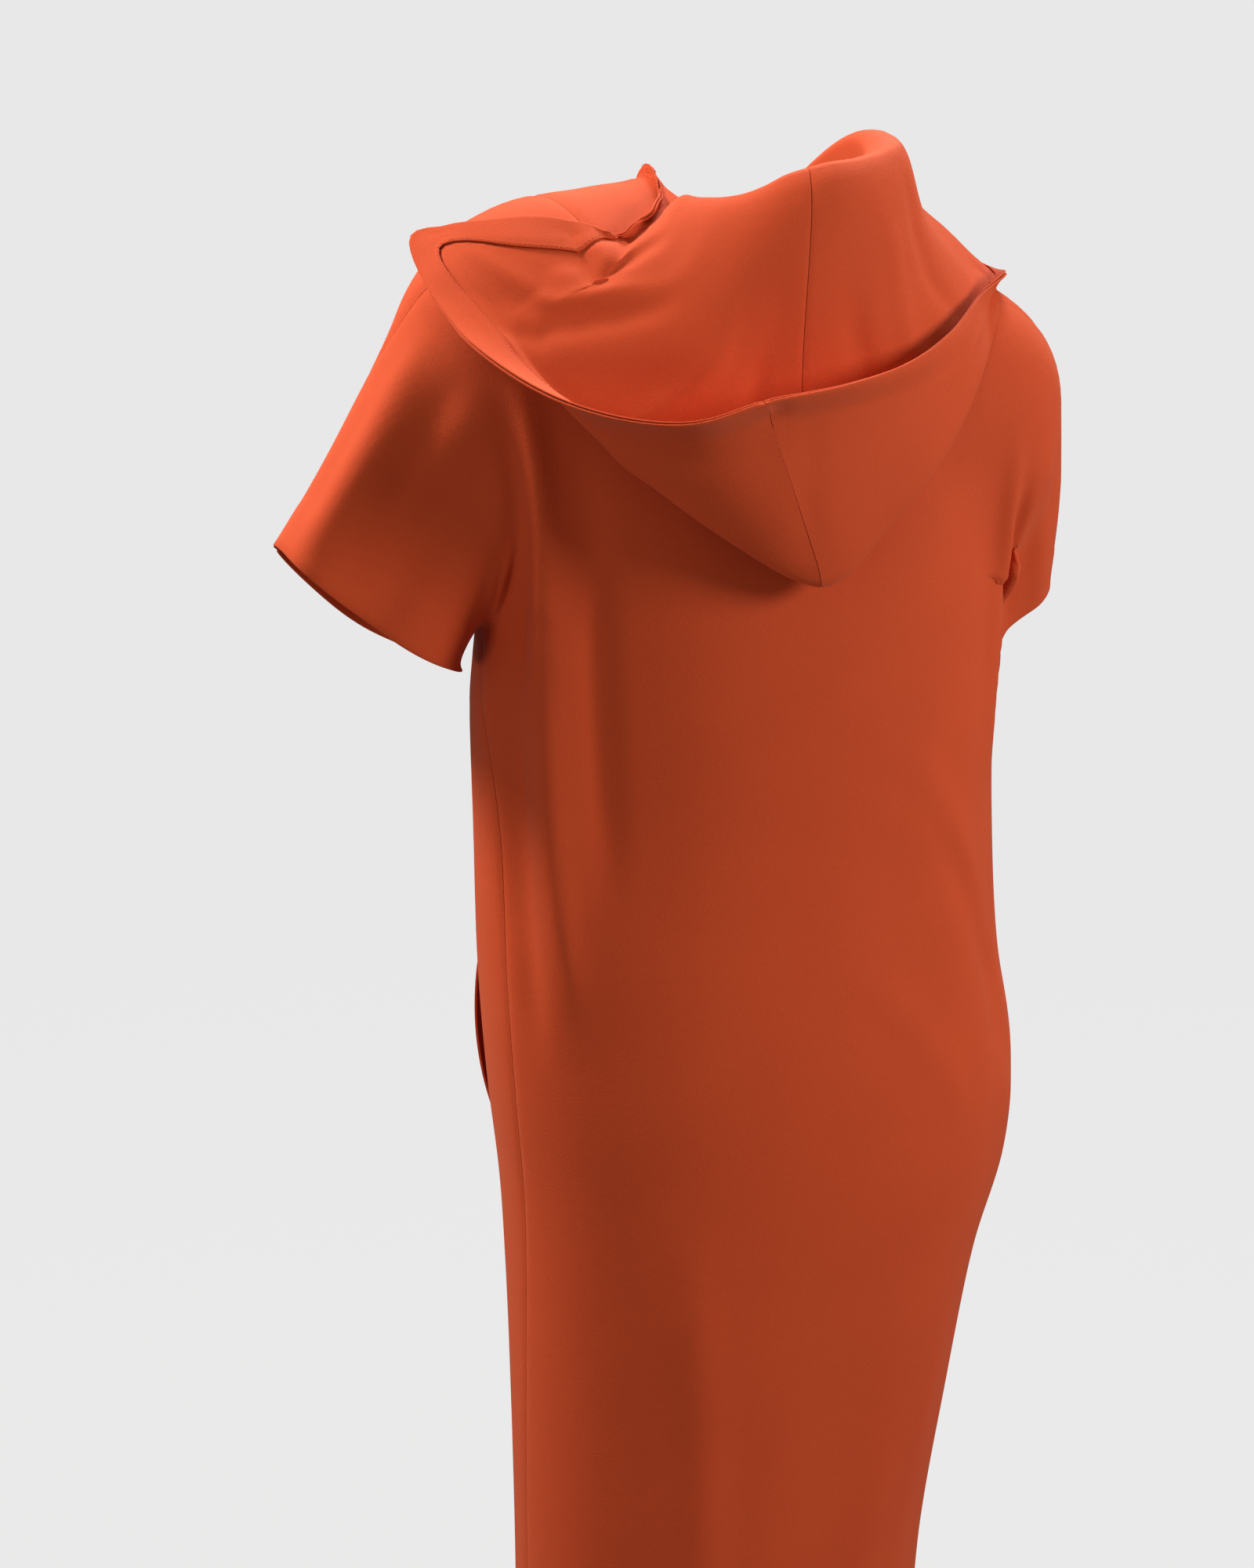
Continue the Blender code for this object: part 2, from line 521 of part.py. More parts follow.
def dress_surface(n_body, n_upper, n_arm):
    """The whole dress without its hood: points, quads, labels, and how far each point is evened and takes folds."""
    inner = np.linspace(0, PRINCESS_C, n_body // 3 + 1)
    outer = np.linspace(PRINCESS_C, 1, n_body // 6 + 1 + n_body // 12)
    half = np.concatenate([inner, outer[1:]])
    us = np.concatenate([-half[::-1], half[1:]])
    s = Sheet()
    for behind in (True, False):
        g, weight = body_grid(behind, us, n_upper)
        pts, q = quads_of(g, form_slope)
        mid = (us[:-1] + us[1:]) / 2
        if behind:
            label = ["back"] * len(q)
        else:
            names = np.where(mid > PRINCESS_C, "front_side_left", np.where(mid < -PRINCESS_C, "front_side_right", "front"))
            label = np.repeat(names, g.shape[1] - 1)
        s.add(pts, q, list(label), weight)
        for side in ("left", "right"):
            a, weight = arm_grid(side, behind, n_upper, n_arm)
            pts, q = quads_of(a, form_slope)
            s.add(pts, q, "back" if behind else "front_side_" + side, weight)
    return s.weld()


def under_arm(p):
    """One at the points where side seam and sleeve meet, falling off round them."""
    out = np.zeros(len(p))
    for row in SLEEVES:
        corner = arm_ring(row, np.array([180.0]), 0)[0]
        out = np.maximum(out, np.exp(-((np.linalg.norm(p - corner, axis=1) / 0.034) ** 2)))
    return out


def finish_surface(p, f, weight, rounds):
    """Evens the joins of body and sleeves, then raises the folds."""
    near = weight[:, 0].copy()
    for a, b in rim_edges(f):
        near[[a, b]] = 0
    held = near > 0.02
    under = under_arm(p)
    for a, b in rim_edges(f):
        under[[a, b]] = 0
    p = relax(p, f, under, rounds * 4)
    held &= under < 0.1
    for _ in range(3):
        p = relax(p, f, near, rounds)
        p[held] = settle(p[held], steps=4)
    p = relax(p, f, near, max(1, rounds // 4))
    n = vertex_normals(p, f)
    return p + n * (fold_height(p) * weight[:, 1])[:, None]


# ---------------------------------------------------------------- the hood
def hood_line(s, fine_t, rows=HOOD):
    """Points of the hood from the neckline to the face edge along each s: [s, t], and each point's share of the way.
    There are HOOD_STEPS steps, closer at the folds, and then CASING_STEPS steps over the casing."""
    s = np.asarray(s, float)
    v = smooth_rows(rows, s)
    neck = neck_point(v[:, 0])
    away = unit((neck - np.array([NECK_X, 0, 0])) * np.array([1.0, 1.0, 0.0]) + 1e-9)
    foot = neck + LEVEL * 0.0021
    top = foot + LEVEL * v[:, 1:2] + away * v[:, 2:3]
    over = top + away * (0.7 * v[:, 2:3] + 0.25 * v[:, 1:2] * np.clip(v[:, 2:3] / 0.01, 0, 1)) + LEVEL * 0.05 * v[:, 1:2]
    mid, fold, rim = v[:, 3:6], v[:, 6:9], v[:, 9:12]
    # the pouch turns round a small radius at its fold
    up, back = np.linalg.norm(mid - fold, axis=1), np.linalg.norm(rim - fold, axis=1)
    turn_in = fold + (mid - fold) * np.clip(0.016 / np.maximum(up, 1e-6), 0, 0.4)[:, None]
    turn_out = fold + (rim - fold) * np.clip(0.016 / np.maximum(back, 1e-6), 0, 0.4)[:, None]
    turn_out[:, 1] += 0.004 * ease((fold[:, 1] - 0.05) / 0.06)
    keys = np.stack([foot, foot + (top - foot) * 0.55, top, over, mid, turn_in, fold, turn_out, rim], 1)
    span = np.linalg.norm(np.diff(keys, axis=1), axis=2) ** 0.75 + 1e-4
    knots = np.concatenate([np.zeros((len(s), 1)), np.cumsum(span, 1)], 1)
    n = (HOOD_STEPS + CASING_STEPS) * fine_t + 1
    out, share = np.zeros((len(s), n, 3)), np.zeros((len(s), n))
    for i in range(len(s)):
        fine = np.linspace(0, knots[i, -1], 300)
        c = smooth_rows(np.column_stack([knots[i], keys[i]]), fine)
        d = np.concatenate([[0], np.cumsum(np.linalg.norm(np.diff(c, axis=0), axis=1))])
        at = np.interp(knots[i], fine, d)
        _, _, d_top, d_over, d_mid, d_in, d_fold, d_out, d_rim = at
        casing = min(CASING, max(0.36 * (d_rim - d_fold), 0.8 * (d_rim - d_fold) - 0.013))
        d_out = d_fold + min(d_out - d_fold, 0.55 * (d_rim - d_fold - casing))
        marks = [0, d_top / 2, d_top, d_over, (d_over + d_mid) / 2, d_mid, (d_mid + d_in) / 2, d_in, d_fold, d_out,
                 d_rim - casing]
        marks += [d_rim - casing * (1 - (k + 1) / CASING_STEPS) for k in range(CASING_STEPS)]
        at = np.interp(np.arange(n) / fine_t, np.arange(len(marks)), marks)
        out[i] = np.stack([np.interp(at, d, c[:, k]) for k in range(3)], 1)
        share[i] = at / d[-1]
    return out, share


def grid_normals(g):
    """Towards the inner face of the hood's cloth."""
    du, dv = np.gradient(g, axis=0), np.gradient(g, axis=1)
    return unit(np.cross(dv, du))


def hood_surface(n_s, fine_t, air=CLEAR + CLOTH):
    """The inner face of the hood, [s, t], with the places along s and the shares t."""
    s = np.linspace(-1, 1, 2 * n_s + 1)
    g, t = hood_line(s, fine_t)
    n = grid_normals(g)
    lift = np.zeros(g.shape[:2])
    for s0, half, height, t0, t1 in PLEATS:
        lift += height * np.exp(-(((s - s0) / half) ** 2))[:, None] * ease((t - t0) / (t1 - t0))
    reach = np.linalg.norm(np.diff(g, axis=1), axis=2).sum(1)[:, None]
    g = g + n * (lift * ease((reach - 0.02) / 0.06))[..., None]
    # the hood rests on the dress, and stays clear of it
    for _ in range(6):
        f = form(g) - fold_height(g)
        d = unit(slope(form, g))
        need = (air - f) * (f < air) * ease(t / 0.06)
        g = g + d * need[..., None]
    return s, t, g


# ---------------------------------------------------------------- solids
def thick(name, p, f, normals, depth, colour, pull=None):
    """A closed wall: the given faces outside, the same ones `depth` further in, and a rim round every edge."""
    used = np.unique(f)
    back = -np.ones(len(p), int)
    back[used] = np.arange(len(used))
    q, f, n = p[used].copy(), back[f], normals[used]
    if pull is not None:
        q = q + pull[used]
    count = len(q)
    edge = rim_edges(f)
    faces = [tuple(int(x) for x in r) for r in f] + [tuple(int(x) + count for x in r[::-1]) for r in f]
    faces += [(b, a, a + count, b + count) for a, b in edge]
    mesh = bpy.data.meshes.new(name)
    mesh.from_pydata([tuple(v) for v in np.concatenate([q, q - n * depth])], [], faces)
    mesh.validate()
    bm = bmesh.new()
    bm.from_mesh(mesh)
    bmesh.ops.triangulate(bm, faces=bm.faces[:], quad_method="SHORT_EDGE")
    bm.to_mesh(mesh)
    bm.free()
    mesh.shade_smooth()
    mesh.set_sharp_from_angle(angle=math.radians(50))
    o = bpy.data.objects.new(name, mesh)
    bpy.context.scene.collection.objects.link(o)
    mat = bpy.data.materials.new(name + "_cloth")
    mat.use_nodes = True
    b = mat.node_tree.nodes["Principled BSDF"]
    b.inputs["Base Color"].default_value = (*colour, 1)
    b.inputs["Roughness"].default_value = 0.85
    b.inputs["Metallic"].default_value = 0.0
    mesh.materials.append(mat)
    return o


def seam_pull(p, f, labels, name, gap):
    """Draws a panel back from the seams it shares with other panels."""
    mine, other = f[labels == name], f[labels != name]
    shared = np.intersect1d(np.unique(mine), np.unique(other))
    pull = np.zeros_like(p)
    if not len(shared):
        return mine, pull
    mark = np.zeros(len(p), bool)
    mark[shared] = True
    rim = [(a, b) for a, b in rim_edges(mine) if mark[a] and mark[b]]
    n = vertex_normals(p, f)
    for a, b in rim:
        side = np.cross(n[a] + n[b], p[b] - p[a])
        side = side / max(np.linalg.norm(side), 1e-12)
        for k in (a, b):
            pull[k] += side
    size = np.linalg.norm(pull, axis=1, keepdims=True)
    return mine, np.where(size > 1e-9, pull / np.maximum(size, 1e-9) * gap, 0)


def pocket_open(p, f, labels, side):
    """Parts the princess seam at the hip: the edge of the front stands out and draws back. Moves for the front."""
    name = "front_side_" + side
    shared = np.intersect1d(np.unique(f[labels == "front"]), np.unique(f[labels == name]))
    k = (POCKET_TOP - p[shared, 2]) / (POCKET_TOP - POCKET_END)
    inside = (k > 0) & (k < 1)
    lens = np.where(inside, np.sin(np.pi * np.clip(k, 0, 1)) ** 0.8, 0)
    return shared, lens


def dress_solids():
    p, f, labels, weight = dress_surface(N_BODY, N_UPPER, N_ARM)
    p = finish_surface(p, f, weight, 4)
    n = vertex_normals(p, f)
    gap = SEAM_GAP / 2 + 0.00005
    opened = {side: pocket_open(p, f, labels, side) for side in ("left", "right")}
    for name in ("back", "front", "front_side_left", "front_side_right"):
        mine, pull = seam_pull(p, f, labels, name, gap)
        if name == "front":
            for shared, lens in opened.values():
                away = unit(pull[shared])
                pull[shared] += n[shared] * (POCKET_GAPE * lens)[:, None] + away * (POCKET_PART * lens)[:, None]
        thick(name, p, mine, n, CLOTH, ORANGE, pull)
    return p, f, labels, n


def pocket_solid(side, p, f, labels, n):
    """The part of the pocket bag that shows in its mouth, under both edges, from the panels' own points moved in."""
    name = "front_side_" + side
    seam = np.intersect1d(np.unique(f[labels == "front"]), np.unique(f[labels == name]))
    seam = seam[(p[seam, 2] < POCKET_TOP + 0.04) & (p[seam, 2] > POCKET_END - 0.03)]
    mark = np.zeros(len(p), bool)
    mark[seam] = True
    bag = f[((labels == "front") | (labels == name)) & (mark[f].sum(1) == 2)]
    return thick("pocket_" + side, p - n * (CLOTH + 0.0022), bag, n, CASING_CLOTH, DEEP)


def hood_solids():
    s, t, g = hood_surface(N_HOOD_S, 1)
    pts, q = quads_of(g)
    n = vertex_normals(pts, q)
    if (n.reshape(g.shape) * grid_normals(g)).sum() < 0:
        q, n = q[:, ::-1], -n
    mid = np.repeat((s[:-1] + s[1:]) / 2, g.shape[1] - 1)
    labels = np.where(mid < 0, "hood_left", "hood_right")
    gap = SEAM_GAP / 2 + 0.00005
    for name in ("hood_left", "hood_right"):
        mine, pull = seam_pull(pts, q, labels, name, gap)
        thick(name, pts, mine, n, CLOTH, ORANGE, pull)
    # the casing lies on the hood's own points, moved out from its inner face, a little inside the face edge
    last = np.tile(np.arange(g.shape[1] - 1), g.shape[0] - 1) >= HOOD_STEPS
    lift = n * (CASING_CLOTH + 0.0003 + 0.0002)
    edge = (g[:, -1] - g[:, -2]) * 0.03
    shift = np.zeros_like(g)
    shift[:, -1] = -edge
    for name in ("left", "right"):
        mine, pull = seam_pull(pts, q, labels, "hood_" + name, gap * 1.5)
        strip = q[last & (labels == "hood_" + name)]
        thick("hood_casing_" + name, pts + lift + shift.reshape(-1, 3), strip, n, CASING_CLOTH, DEEP, pull)


ORANGE = (0.62, 0.085, 0.030)
DEEP = (0.50, 0.050, 0.020)


def main():
    for o in list(bpy.data.objects):
        bpy.data.objects.remove(o, do_unlink=True)
    surface = dress_solids()
    for side in ("left", "right"):
        pocket_solid(side, *surface)
    hood_solids()


main()
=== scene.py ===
"""Looks of the hoodie dress: fine cloth on the form of its solids, with its creases, seams, hems and stitches, in a
soft matt crepe, on a plain pale stage. Metres, +Z up, the same frame as the solids."""
import math

import bpy
import numpy as np
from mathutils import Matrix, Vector
from mathutils.kdtree import KDTree


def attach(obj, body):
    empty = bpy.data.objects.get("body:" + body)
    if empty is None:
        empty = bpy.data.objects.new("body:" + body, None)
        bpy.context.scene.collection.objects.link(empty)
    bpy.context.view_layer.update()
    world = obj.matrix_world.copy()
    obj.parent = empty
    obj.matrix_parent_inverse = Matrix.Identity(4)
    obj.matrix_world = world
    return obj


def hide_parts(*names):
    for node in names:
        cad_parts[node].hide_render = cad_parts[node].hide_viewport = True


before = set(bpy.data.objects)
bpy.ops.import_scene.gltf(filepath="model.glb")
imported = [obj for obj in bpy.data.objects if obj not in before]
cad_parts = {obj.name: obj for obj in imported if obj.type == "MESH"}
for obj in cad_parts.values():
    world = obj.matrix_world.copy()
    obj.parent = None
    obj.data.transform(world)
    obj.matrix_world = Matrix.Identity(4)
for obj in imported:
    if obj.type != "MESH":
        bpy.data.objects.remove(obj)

# ---------------------------------------------------------------- driving sizes, in metres
CLOTH = 0.0015          # one layer of crepe with its turnings, as built
SEAM_GAP = 0.00036      # between two pieces at a seam
HEM_Z = -1.20           # lower edge of the skirt
UNDERARM_Z = -0.275     # where sleeve and side seam meet
POCKET_TOP, POCKET_END = -0.490, -0.615     # mouth of the hip pocket, in the princess seam
POCKET_GAPE, POCKET_PART = 0.0075, 0.0022   # how far its front edge stands out, and draws back
CLEAR = 0.0024          # air between the laid-down hood and the dress under it
CASING, CASING_CLOTH = 0.030, 0.0011        # the turned casing along the hood's face edge, its depth and thickness
PRINCESS_TOP = 0.585                        # where the princess seam meets the shoulder seam, as a share of its edge
# the lengthwise seams: the princess seam as a share of the half front, and how far behind the widest point the side
# seam sits, in degrees
SEAM_COLUMNS = ("z", "princess_share", "side_deg")
SEAMS = [(-0.20, 0.50, 4.0), (-0.28, 0.52, 8.0), (-0.38, 0.60, 13.0), (-0.47, 0.670, 15.0), (-0.56, 0.700, 14.5),
         (-0.66, 0.690, 12.0), (-0.85, 0.63, 6.0), (-1.20, 0.60, 3.0)]
# heights of the crosswise rows of points below the underarm
LOWER_ROWS = [-0.315, -0.36, -0.41, -0.46, -0.505, -0.54, -0.57, -0.60, -0.635, -0.68, -0.74, -0.82, -0.93, -1.06, -1.20]

# the dress as level sections; a section is a rounded oval with a front and a back depth
BODY_COLUMNS = ("z", "half_width", "front", "back", "centre_x", "centre_y", "square")
BODY = [
    (0.080, 0.192, 0.100, 0.110, 0.014, 0.000, 2.30),
    (-0.100, 0.184, 0.110, 0.118, 0.004, 0.000, 2.30),
    (-0.200, 0.182, 0.120, 0.120, -0.001, 0.000, 2.25),
    (-0.300, 0.185, 0.121, 0.118, -0.001, 0.000, 2.20),
    (-0.400, 0.186, 0.115, 0.114, -0.003, 0.000, 2.15),
    (-0.500, 0.188, 0.114, 0.118, -0.007, 0.000, 2.15),
    (-0.580, 0.191, 0.117, 0.123, -0.016, 0.000, 2.15),
    (-0.650, 0.185, 0.117, 0.123, -0.018, 0.000, 2.15),
    (-0.720, 0.174, 0.115, 0.119, -0.011, 0.000, 2.15),
    (-0.820, 0.163, 0.111, 0.113, -0.003, 0.000, 2.15),
    (-0.950, 0.152, 0.106, 0.108, 0.006, 0.000, 2.15),
    (-1.200, 0.150, 0.104, 0.108, 0.009, 0.000, 2.15),
]
# the top of the shoulders from right to left, with the left one lifted, and its fall and rounding to the back
SHOULDER_COLUMNS = ("x", "z", "back_fall", "back_round")
SHOULDER = [
    (-0.260, -0.110, 1.00, 0.020), (-0.200, -0.052, 1.00, 0.020), (-0.150, -0.020, 0.95, 0.022),
    (-0.080, 0.012, 0.85, 0.028), (0.000, 0.030, 0.75, 0.035), (0.080, 0.0275, 0.90, 0.020),
    (0.150, 0.0300, 1.20, 0.013), (0.200, 0.0210, 1.27, 0.013), (0.260, -0.045, 1.20, 0.013),
]
SHOULDER_FRONT_R = 0.055                            # how fast the shoulder falls to the front
SHOULDER_Y = -0.010                                 # the ridge of the shoulder

# neckline: its middle, half width, depth behind and in front of the middle
NECK_X, NECK_HALF, NECK_BACK, NECK_FRONT = -0.006, 0.070, 0.070, 0.100
SHOULDER_SEAM_DEG = 50.0                            # where the shoulder seam meets the neckline, from the nape
SHOULDER_SEAM_BOW = 0.026                           # how far the shoulder seam bows to the back on its way
ARM_SEAM_TOP, ARM_SEAM_HEM = 14.0, -22.0            # the seam along the top of the sleeve, in turns from its overarm
ARM_GAP = 0.008                                     # between the side of the body and the inner side of a sleeve's hem

# sleeves: a tube from inside the shoulder to its hem
SLEEVE_COLUMNS = ("side", "start_x", "start_y", "start_z", "out_deg", "fore_deg", "length",
                  "wide_0", "deep_0", "wide_1", "deep_1", "hem_tilt_deg", "bulge", "hem_dip")
SLEEVES = [
    ("left", 0.146, 0.000, -0.098, 35.0, 2.0, 0.186, 0.095, 0.080, 0.073, 0.060, 0.0, -0.0045, 0.06),
    ("right", -0.148, 0.014, -0.118, 18.5, 16.0, 0.160, 0.084, 0.078, 0.059, 0.056, -6.0, 0.004, 0.00),
]
ARM_BLEND, ROOF_BLEND = 0.032, 0.036

# the largest folds of the dress: a soft ridge (+) or trough (-) from one point to another, given as the turn round
# the body from the left side (degrees, 90 is the middle of the back) and the height
FOLD_COLUMNS = ("turn_top", "z_top", "turn_end", "z_end", "half_width", "height")
FOLDS = [
    (30.0, -0.09, 38.0, -0.56, 0.020, 0.0065),
    (20.0, -0.12, 22.0, -0.50, 0.016, -0.0050),
    (52.0, -0.16, 58.0, -0.50, 0.030, -0.0030),
    (150.0, -0.12, 152.0, -0.40, 0.016, 0.0045),
    (160.0, -0.14, 163.0, -0.38, 0.012, -0.0040),
    (112.0, -0.36, 150.0, -0.56, 0.030, 0.0030),
    (126.0, -0.40, 158.0, -0.62, 0.022, -0.0026),
    (62.0, -0.62, 80.0, -1.15, 0.034, 0.0030),
    (104.0, -0.70, 98.0, -1.18, 0.030, -0.0028),
    (140.0, -0.72, 132.0, -1.18, 0.030, 0.0026),
    (232.0, -0.16, 240.0, -0.46, 0.026, 0.0034),
    (306.0, -0.16, 298.0, -0.44, 0.026, 0.0030),
    (270.0, -0.26, 268.0, -0.62, 0.040, -0.0026),
    (300.0, -0.55, 290.0, -1.12, 0.030, 0.0030),
    (240.0, -0.58, 248.0, -1.14, 0.030, 0.0028),
    (268.0, -0.70, 272.0, -1.18, 0.034, -0.0026),
]
# folds of the sleeves: turn from the overarm (degrees, 90 is behind), share of the way to the hem
ARM_FOLD_COLUMNS = ("side", "turn", "from", "to", "half_deg", "height")
ARM_FOLDS = [
    ("left", 80.0, 0.05, 1.3, 30.0, -0.0110),
    ("left", 38.0, 0.15, 1.3, 18.0, 0.0050),
    ("left", 300.0, 0.1, 1.3, 28.0, -0.0060),
    ("left", 250.0, 0.1, 1.3, 20.0, 0.0040),
    ("right", 75.0, 0.1, 1.3, 24.0, -0.0050),
    ("right", 118.0, 0.3, 1.3, 20.0, 0.0050),
    ("right", 290.0, 0.1, 1.3, 26.0, -0.0060),
]

# the hood as lines from the neckline to the face edge. neck_deg: where the line leaves the neckline, from the nape,
# left positive. stand and lean: height and outward lean of its rise. mid: a point on its inner wall, or on the
# shoulder. fold: the lowest fold of the pouch. rim: the face edge.
HOOD_COLUMNS = ("s", "neck_deg", "stand", "lean", "mid_x", "mid_y", "mid_z",
                "fold_x", "fold_y", "fold_z", "rim_x", "rim_y", "rim_z")
HOOD = [
    (-1.00, 177.0, 0.016, 0.000, 0.000, -0.110, -0.034, 0.000, -0.111, -0.026, 0.000, -0.111, -0.018),
    (-0.86, 140.0, 0.009, 0.001, 0.041, -0.079, 0.002, 0.041, -0.079, 0.008, 0.041, -0.079, 0.014),
    (-0.72, 104.0, 0.003, 0.001, 0.063, -0.024, 0.036, 0.063, -0.024, 0.038, 0.063, -0.024, 0.040),
    (-0.60, 76.0, 0.004, 0.003, 0.068, 0.026, 0.024, 0.071, 0.032, 0.020, 0.074, 0.038, 0.015),
    (-0.50, 58.0, 0.006, 0.008, 0.078, 0.056, 0.000, 0.090, 0.066, -0.012, 0.098, 0.062, -0.017),
    (-0.40, 44.0, 0.006, 0.010, 0.086, 0.084, -0.024, 0.130, 0.086, -0.046, 0.150, 0.044, -0.011),
    (-0.355, 38.5, 0.007, 0.011, 0.086, 0.095, -0.038, 0.150, 0.085, -0.056, 0.188, 0.034, -0.011),
    (-0.31, 33.0, 0.008, 0.012, 0.084, 0.104, -0.050, 0.168, 0.084, -0.066, 0.224, 0.004, -0.012),
    (-0.23, 24.0, 0.011, 0.013, 0.074, 0.120, -0.082, 0.172, 0.100, -0.098, 0.206, 0.078, -0.064),
    (-0.15, 16.0, 0.016, 0.014, 0.058, 0.126, -0.108, 0.132, 0.126, -0.148, 0.164, 0.142, -0.104),
    (-0.07, 8.0, 0.023, 0.014, 0.034, 0.128, -0.124, 0.065, 0.139, -0.200, 0.112, 0.178, -0.118),
    (0.00, 0.0, 0.028, 0.014, 0.010, 0.130, -0.130, 0.001, 0.141, -0.231, 0.066, 0.184, -0.106),
    (0.08, -9.0, 0.033, 0.014, -0.020, 0.130, -0.120, -0.043, 0.139, -0.199, 0.012, 0.176, -0.099),
    (0.17, -20.0, 0.037, 0.013, -0.052, 0.126, -0.092, -0.086, 0.130, -0.156, -0.040, 0.154, -0.090),
    (0.27, -34.0, 0.042, 0.012, -0.082, 0.106, -0.054, -0.124, 0.110, -0.104, -0.089, 0.124, -0.073),
    (0.37, -52.0, 0.047, 0.012, -0.104, 0.072, -0.006, -0.156, 0.066, -0.060, -0.136, 0.084, -0.048),
    (0.425, -62.0, 0.047, 0.011, -0.109, 0.050, 0.008, -0.158, 0.044, -0.037, -0.170, 0.056, -0.034),
    (0.48, -74.0, 0.046, 0.010, -0.112, 0.026, 0.020, -0.158, 0.020, -0.014, -0.186, 0.012, -0.034),
    (0.60, -98.0, 0.042, 0.010, -0.108, -0.018, 0.018, -0.146, -0.034, -0.008, -0.166, -0.056, -0.042),
    (0.74, -124.0, 0.034, 0.008, -0.084, -0.062, 0.010, -0.104, -0.080, -0.010, -0.116, -0.096, -0.044),
    (0.88, -152.0, 0.024, 0.004, -0.044, -0.100, -0.014, -0.054, -0.110, -0.026, -0.062, -0.114, -0.046),
    (1.00, -177.0, 0.018, 0.003, -0.011, -0.110, -0.042, -0.012, -0.117, -0.044, -0.014, -0.124, -0.054),
]
# pleats that run from the gathered face edge into the pouch: place along s, half width in s, height, reach in t
PLEAT_COLUMNS = ("s", "half_s", "height", "t_from", "t_full")
PLEATS = [
    (-0.560, 0.020, -0.0035, 0.25, 0.75), (-0.515, 0.020, 0.0050, 0.25, 0.75),
    (-0.472, 0.018, -0.0045, 0.30, 0.80), (-0.432, 0.018, 0.0028, 0.35, 0.85), (-0.400, 0.014, -0.0020, 0.45, 0.90),
]

HOOD_STEPS, CASING_STEPS = 10, 2


# ---------------------------------------------------------------- small maths
def smooth_rows(rows, at):
    """Values of a table's columns at the places `at` of its first column, through a smooth curve."""
    t = np.array(rows, float)
    if t[0, 0] > t[-1, 0]:
        t = t[::-1]
    x, y = t[:, 0], t[:, 1:]
    d = np.diff(y, axis=0) / np.diff(x)[:, None]
    m = np.vstack([d[:1], (d[1:] + d[:-1]) / 2, d[-1:]])
    at = np.clip(np.asarray(at, float), x[0], x[-1])
    i = np.clip(np.searchsorted(x, at) - 1, 0, len(x) - 2)
    h = (x[i + 1] - x[i])
    q = ((at - x[i]) / h)[..., None]
    h = h[..., None]
    return ((2 * q**3 - 3 * q**2 + 1) * y[i] + (q**3 - 2 * q**2 + q) * h * m[i]
            + (3 * q**2 - 2 * q**3) * y[i + 1] + (q**3 - q**2) * h * m[i + 1])


def smax(a, b, k):
    h = np.maximum(k - np.abs(a - b), 0) / k
    return np.maximum(a, b) + h * h * k / 4


def smin(a, b, k):
    return -smax(-a, -b, k)


def unit(v):
    return v / np.maximum(np.linalg.norm(v, axis=-1, keepdims=True), 1e-12)


def ease(x):
    x = np.clip(x, 0, 1)
    return x * x * (3 - 2 * x)


# ---------------------------------------------------------------- the form the dress takes, as a distance
def column_distance(p):
    a, bf, bb, cx, cy, n = np.moveaxis(smooth_rows(BODY, p[..., 2]), -1, 0)
    dx, dy = p[..., 0] - cx, p[..., 1] - cy
    b = np.where(dy > 0, bb, bf)
    rho = ((np.abs(dx) / a) ** n + (np.abs(dy) / b) ** n) ** (1 / n)
    r = np.hypot(dx, dy)
    return r - r / np.maximum(rho, 1e-6)


def roof_distance(p):
    z, fall, r = np.moveaxis(smooth_rows(SHOULDER, p[..., 0]), -1, 0)
    dy = p[..., 1] - SHOULDER_Y
    drop = np.where(dy > 0, fall * (np.sqrt(r * r + dy * dy) - r), dy**2 / (2 * SHOULDER_FRONT_R))
    return (p[..., 2] - z + drop) * 0.85


def sleeve_frame(row):
    _, x, y, z, out, fore = row[:6]
    side = 1.0 if x > 0 else -1.0
    o, f = math.radians(out), math.radians(fore)
    axis = np.array([side * math.sin(o) * math.cos(f), -math.sin(f), -math.cos(o) * math.cos(f)])
    wide = unit(np.array([side * math.cos(o), 0.0, math.sin(o)]))
    wide = unit(wide - axis * (wide @ axis))
    deep = np.cross(axis, wide) * side
    return np.array([x, y, z]), axis, wide, deep * (1 if deep[1] > 0 else -1)


def sleeve_distance(p, row):
    start, axis, wide, deep = sleeve_frame(row)
    length, w0, d0, w1, d1 = row[6:11]
    bulge = row[12]
    q = p - start
    s = q @ axis
    k = np.clip(s / length, 0, 1.4)
    open_end = 1 - 0.5 * ease((s / length - 1.03) / 0.5)      # below its hem the tube fades into the body
    more = bulge * np.clip(4 * k * (1 - k), 0, 1)
    w, d = (w0 + (w1 - w0) * k + more) * open_end, (d0 + (d1 - d0) * k + more) * open_end
    u, v, back = q @ wide, q @ deep, np.minimum(s, 0)
    r = np.sqrt(u**2 + v**2 + back**2)
    rho = np.sqrt((u / w) ** 2 + (v / d) ** 2 + (back / w0) ** 2)
    return r - r / np.maximum(rho, 1e-6)


def form(p):
    """Below zero inside the worn dress, above zero outside it."""
    f = smax(column_distance(p), roof_distance(p), ROOF_BLEND)
    for row in SLEEVES:
        f = smin(f, sleeve_distance(p, row), ARM_BLEND)
    return f


def slope(fn, p, h=1e-4):
    g = np.zeros_like(p)
    for k in range(3):
        e = np.zeros(3)
        e[k] = h
        g[..., k] = (fn(p + e) - fn(p - e)) / (2 * h)
    return g


def form_slope(p):
    return slope(form, p)


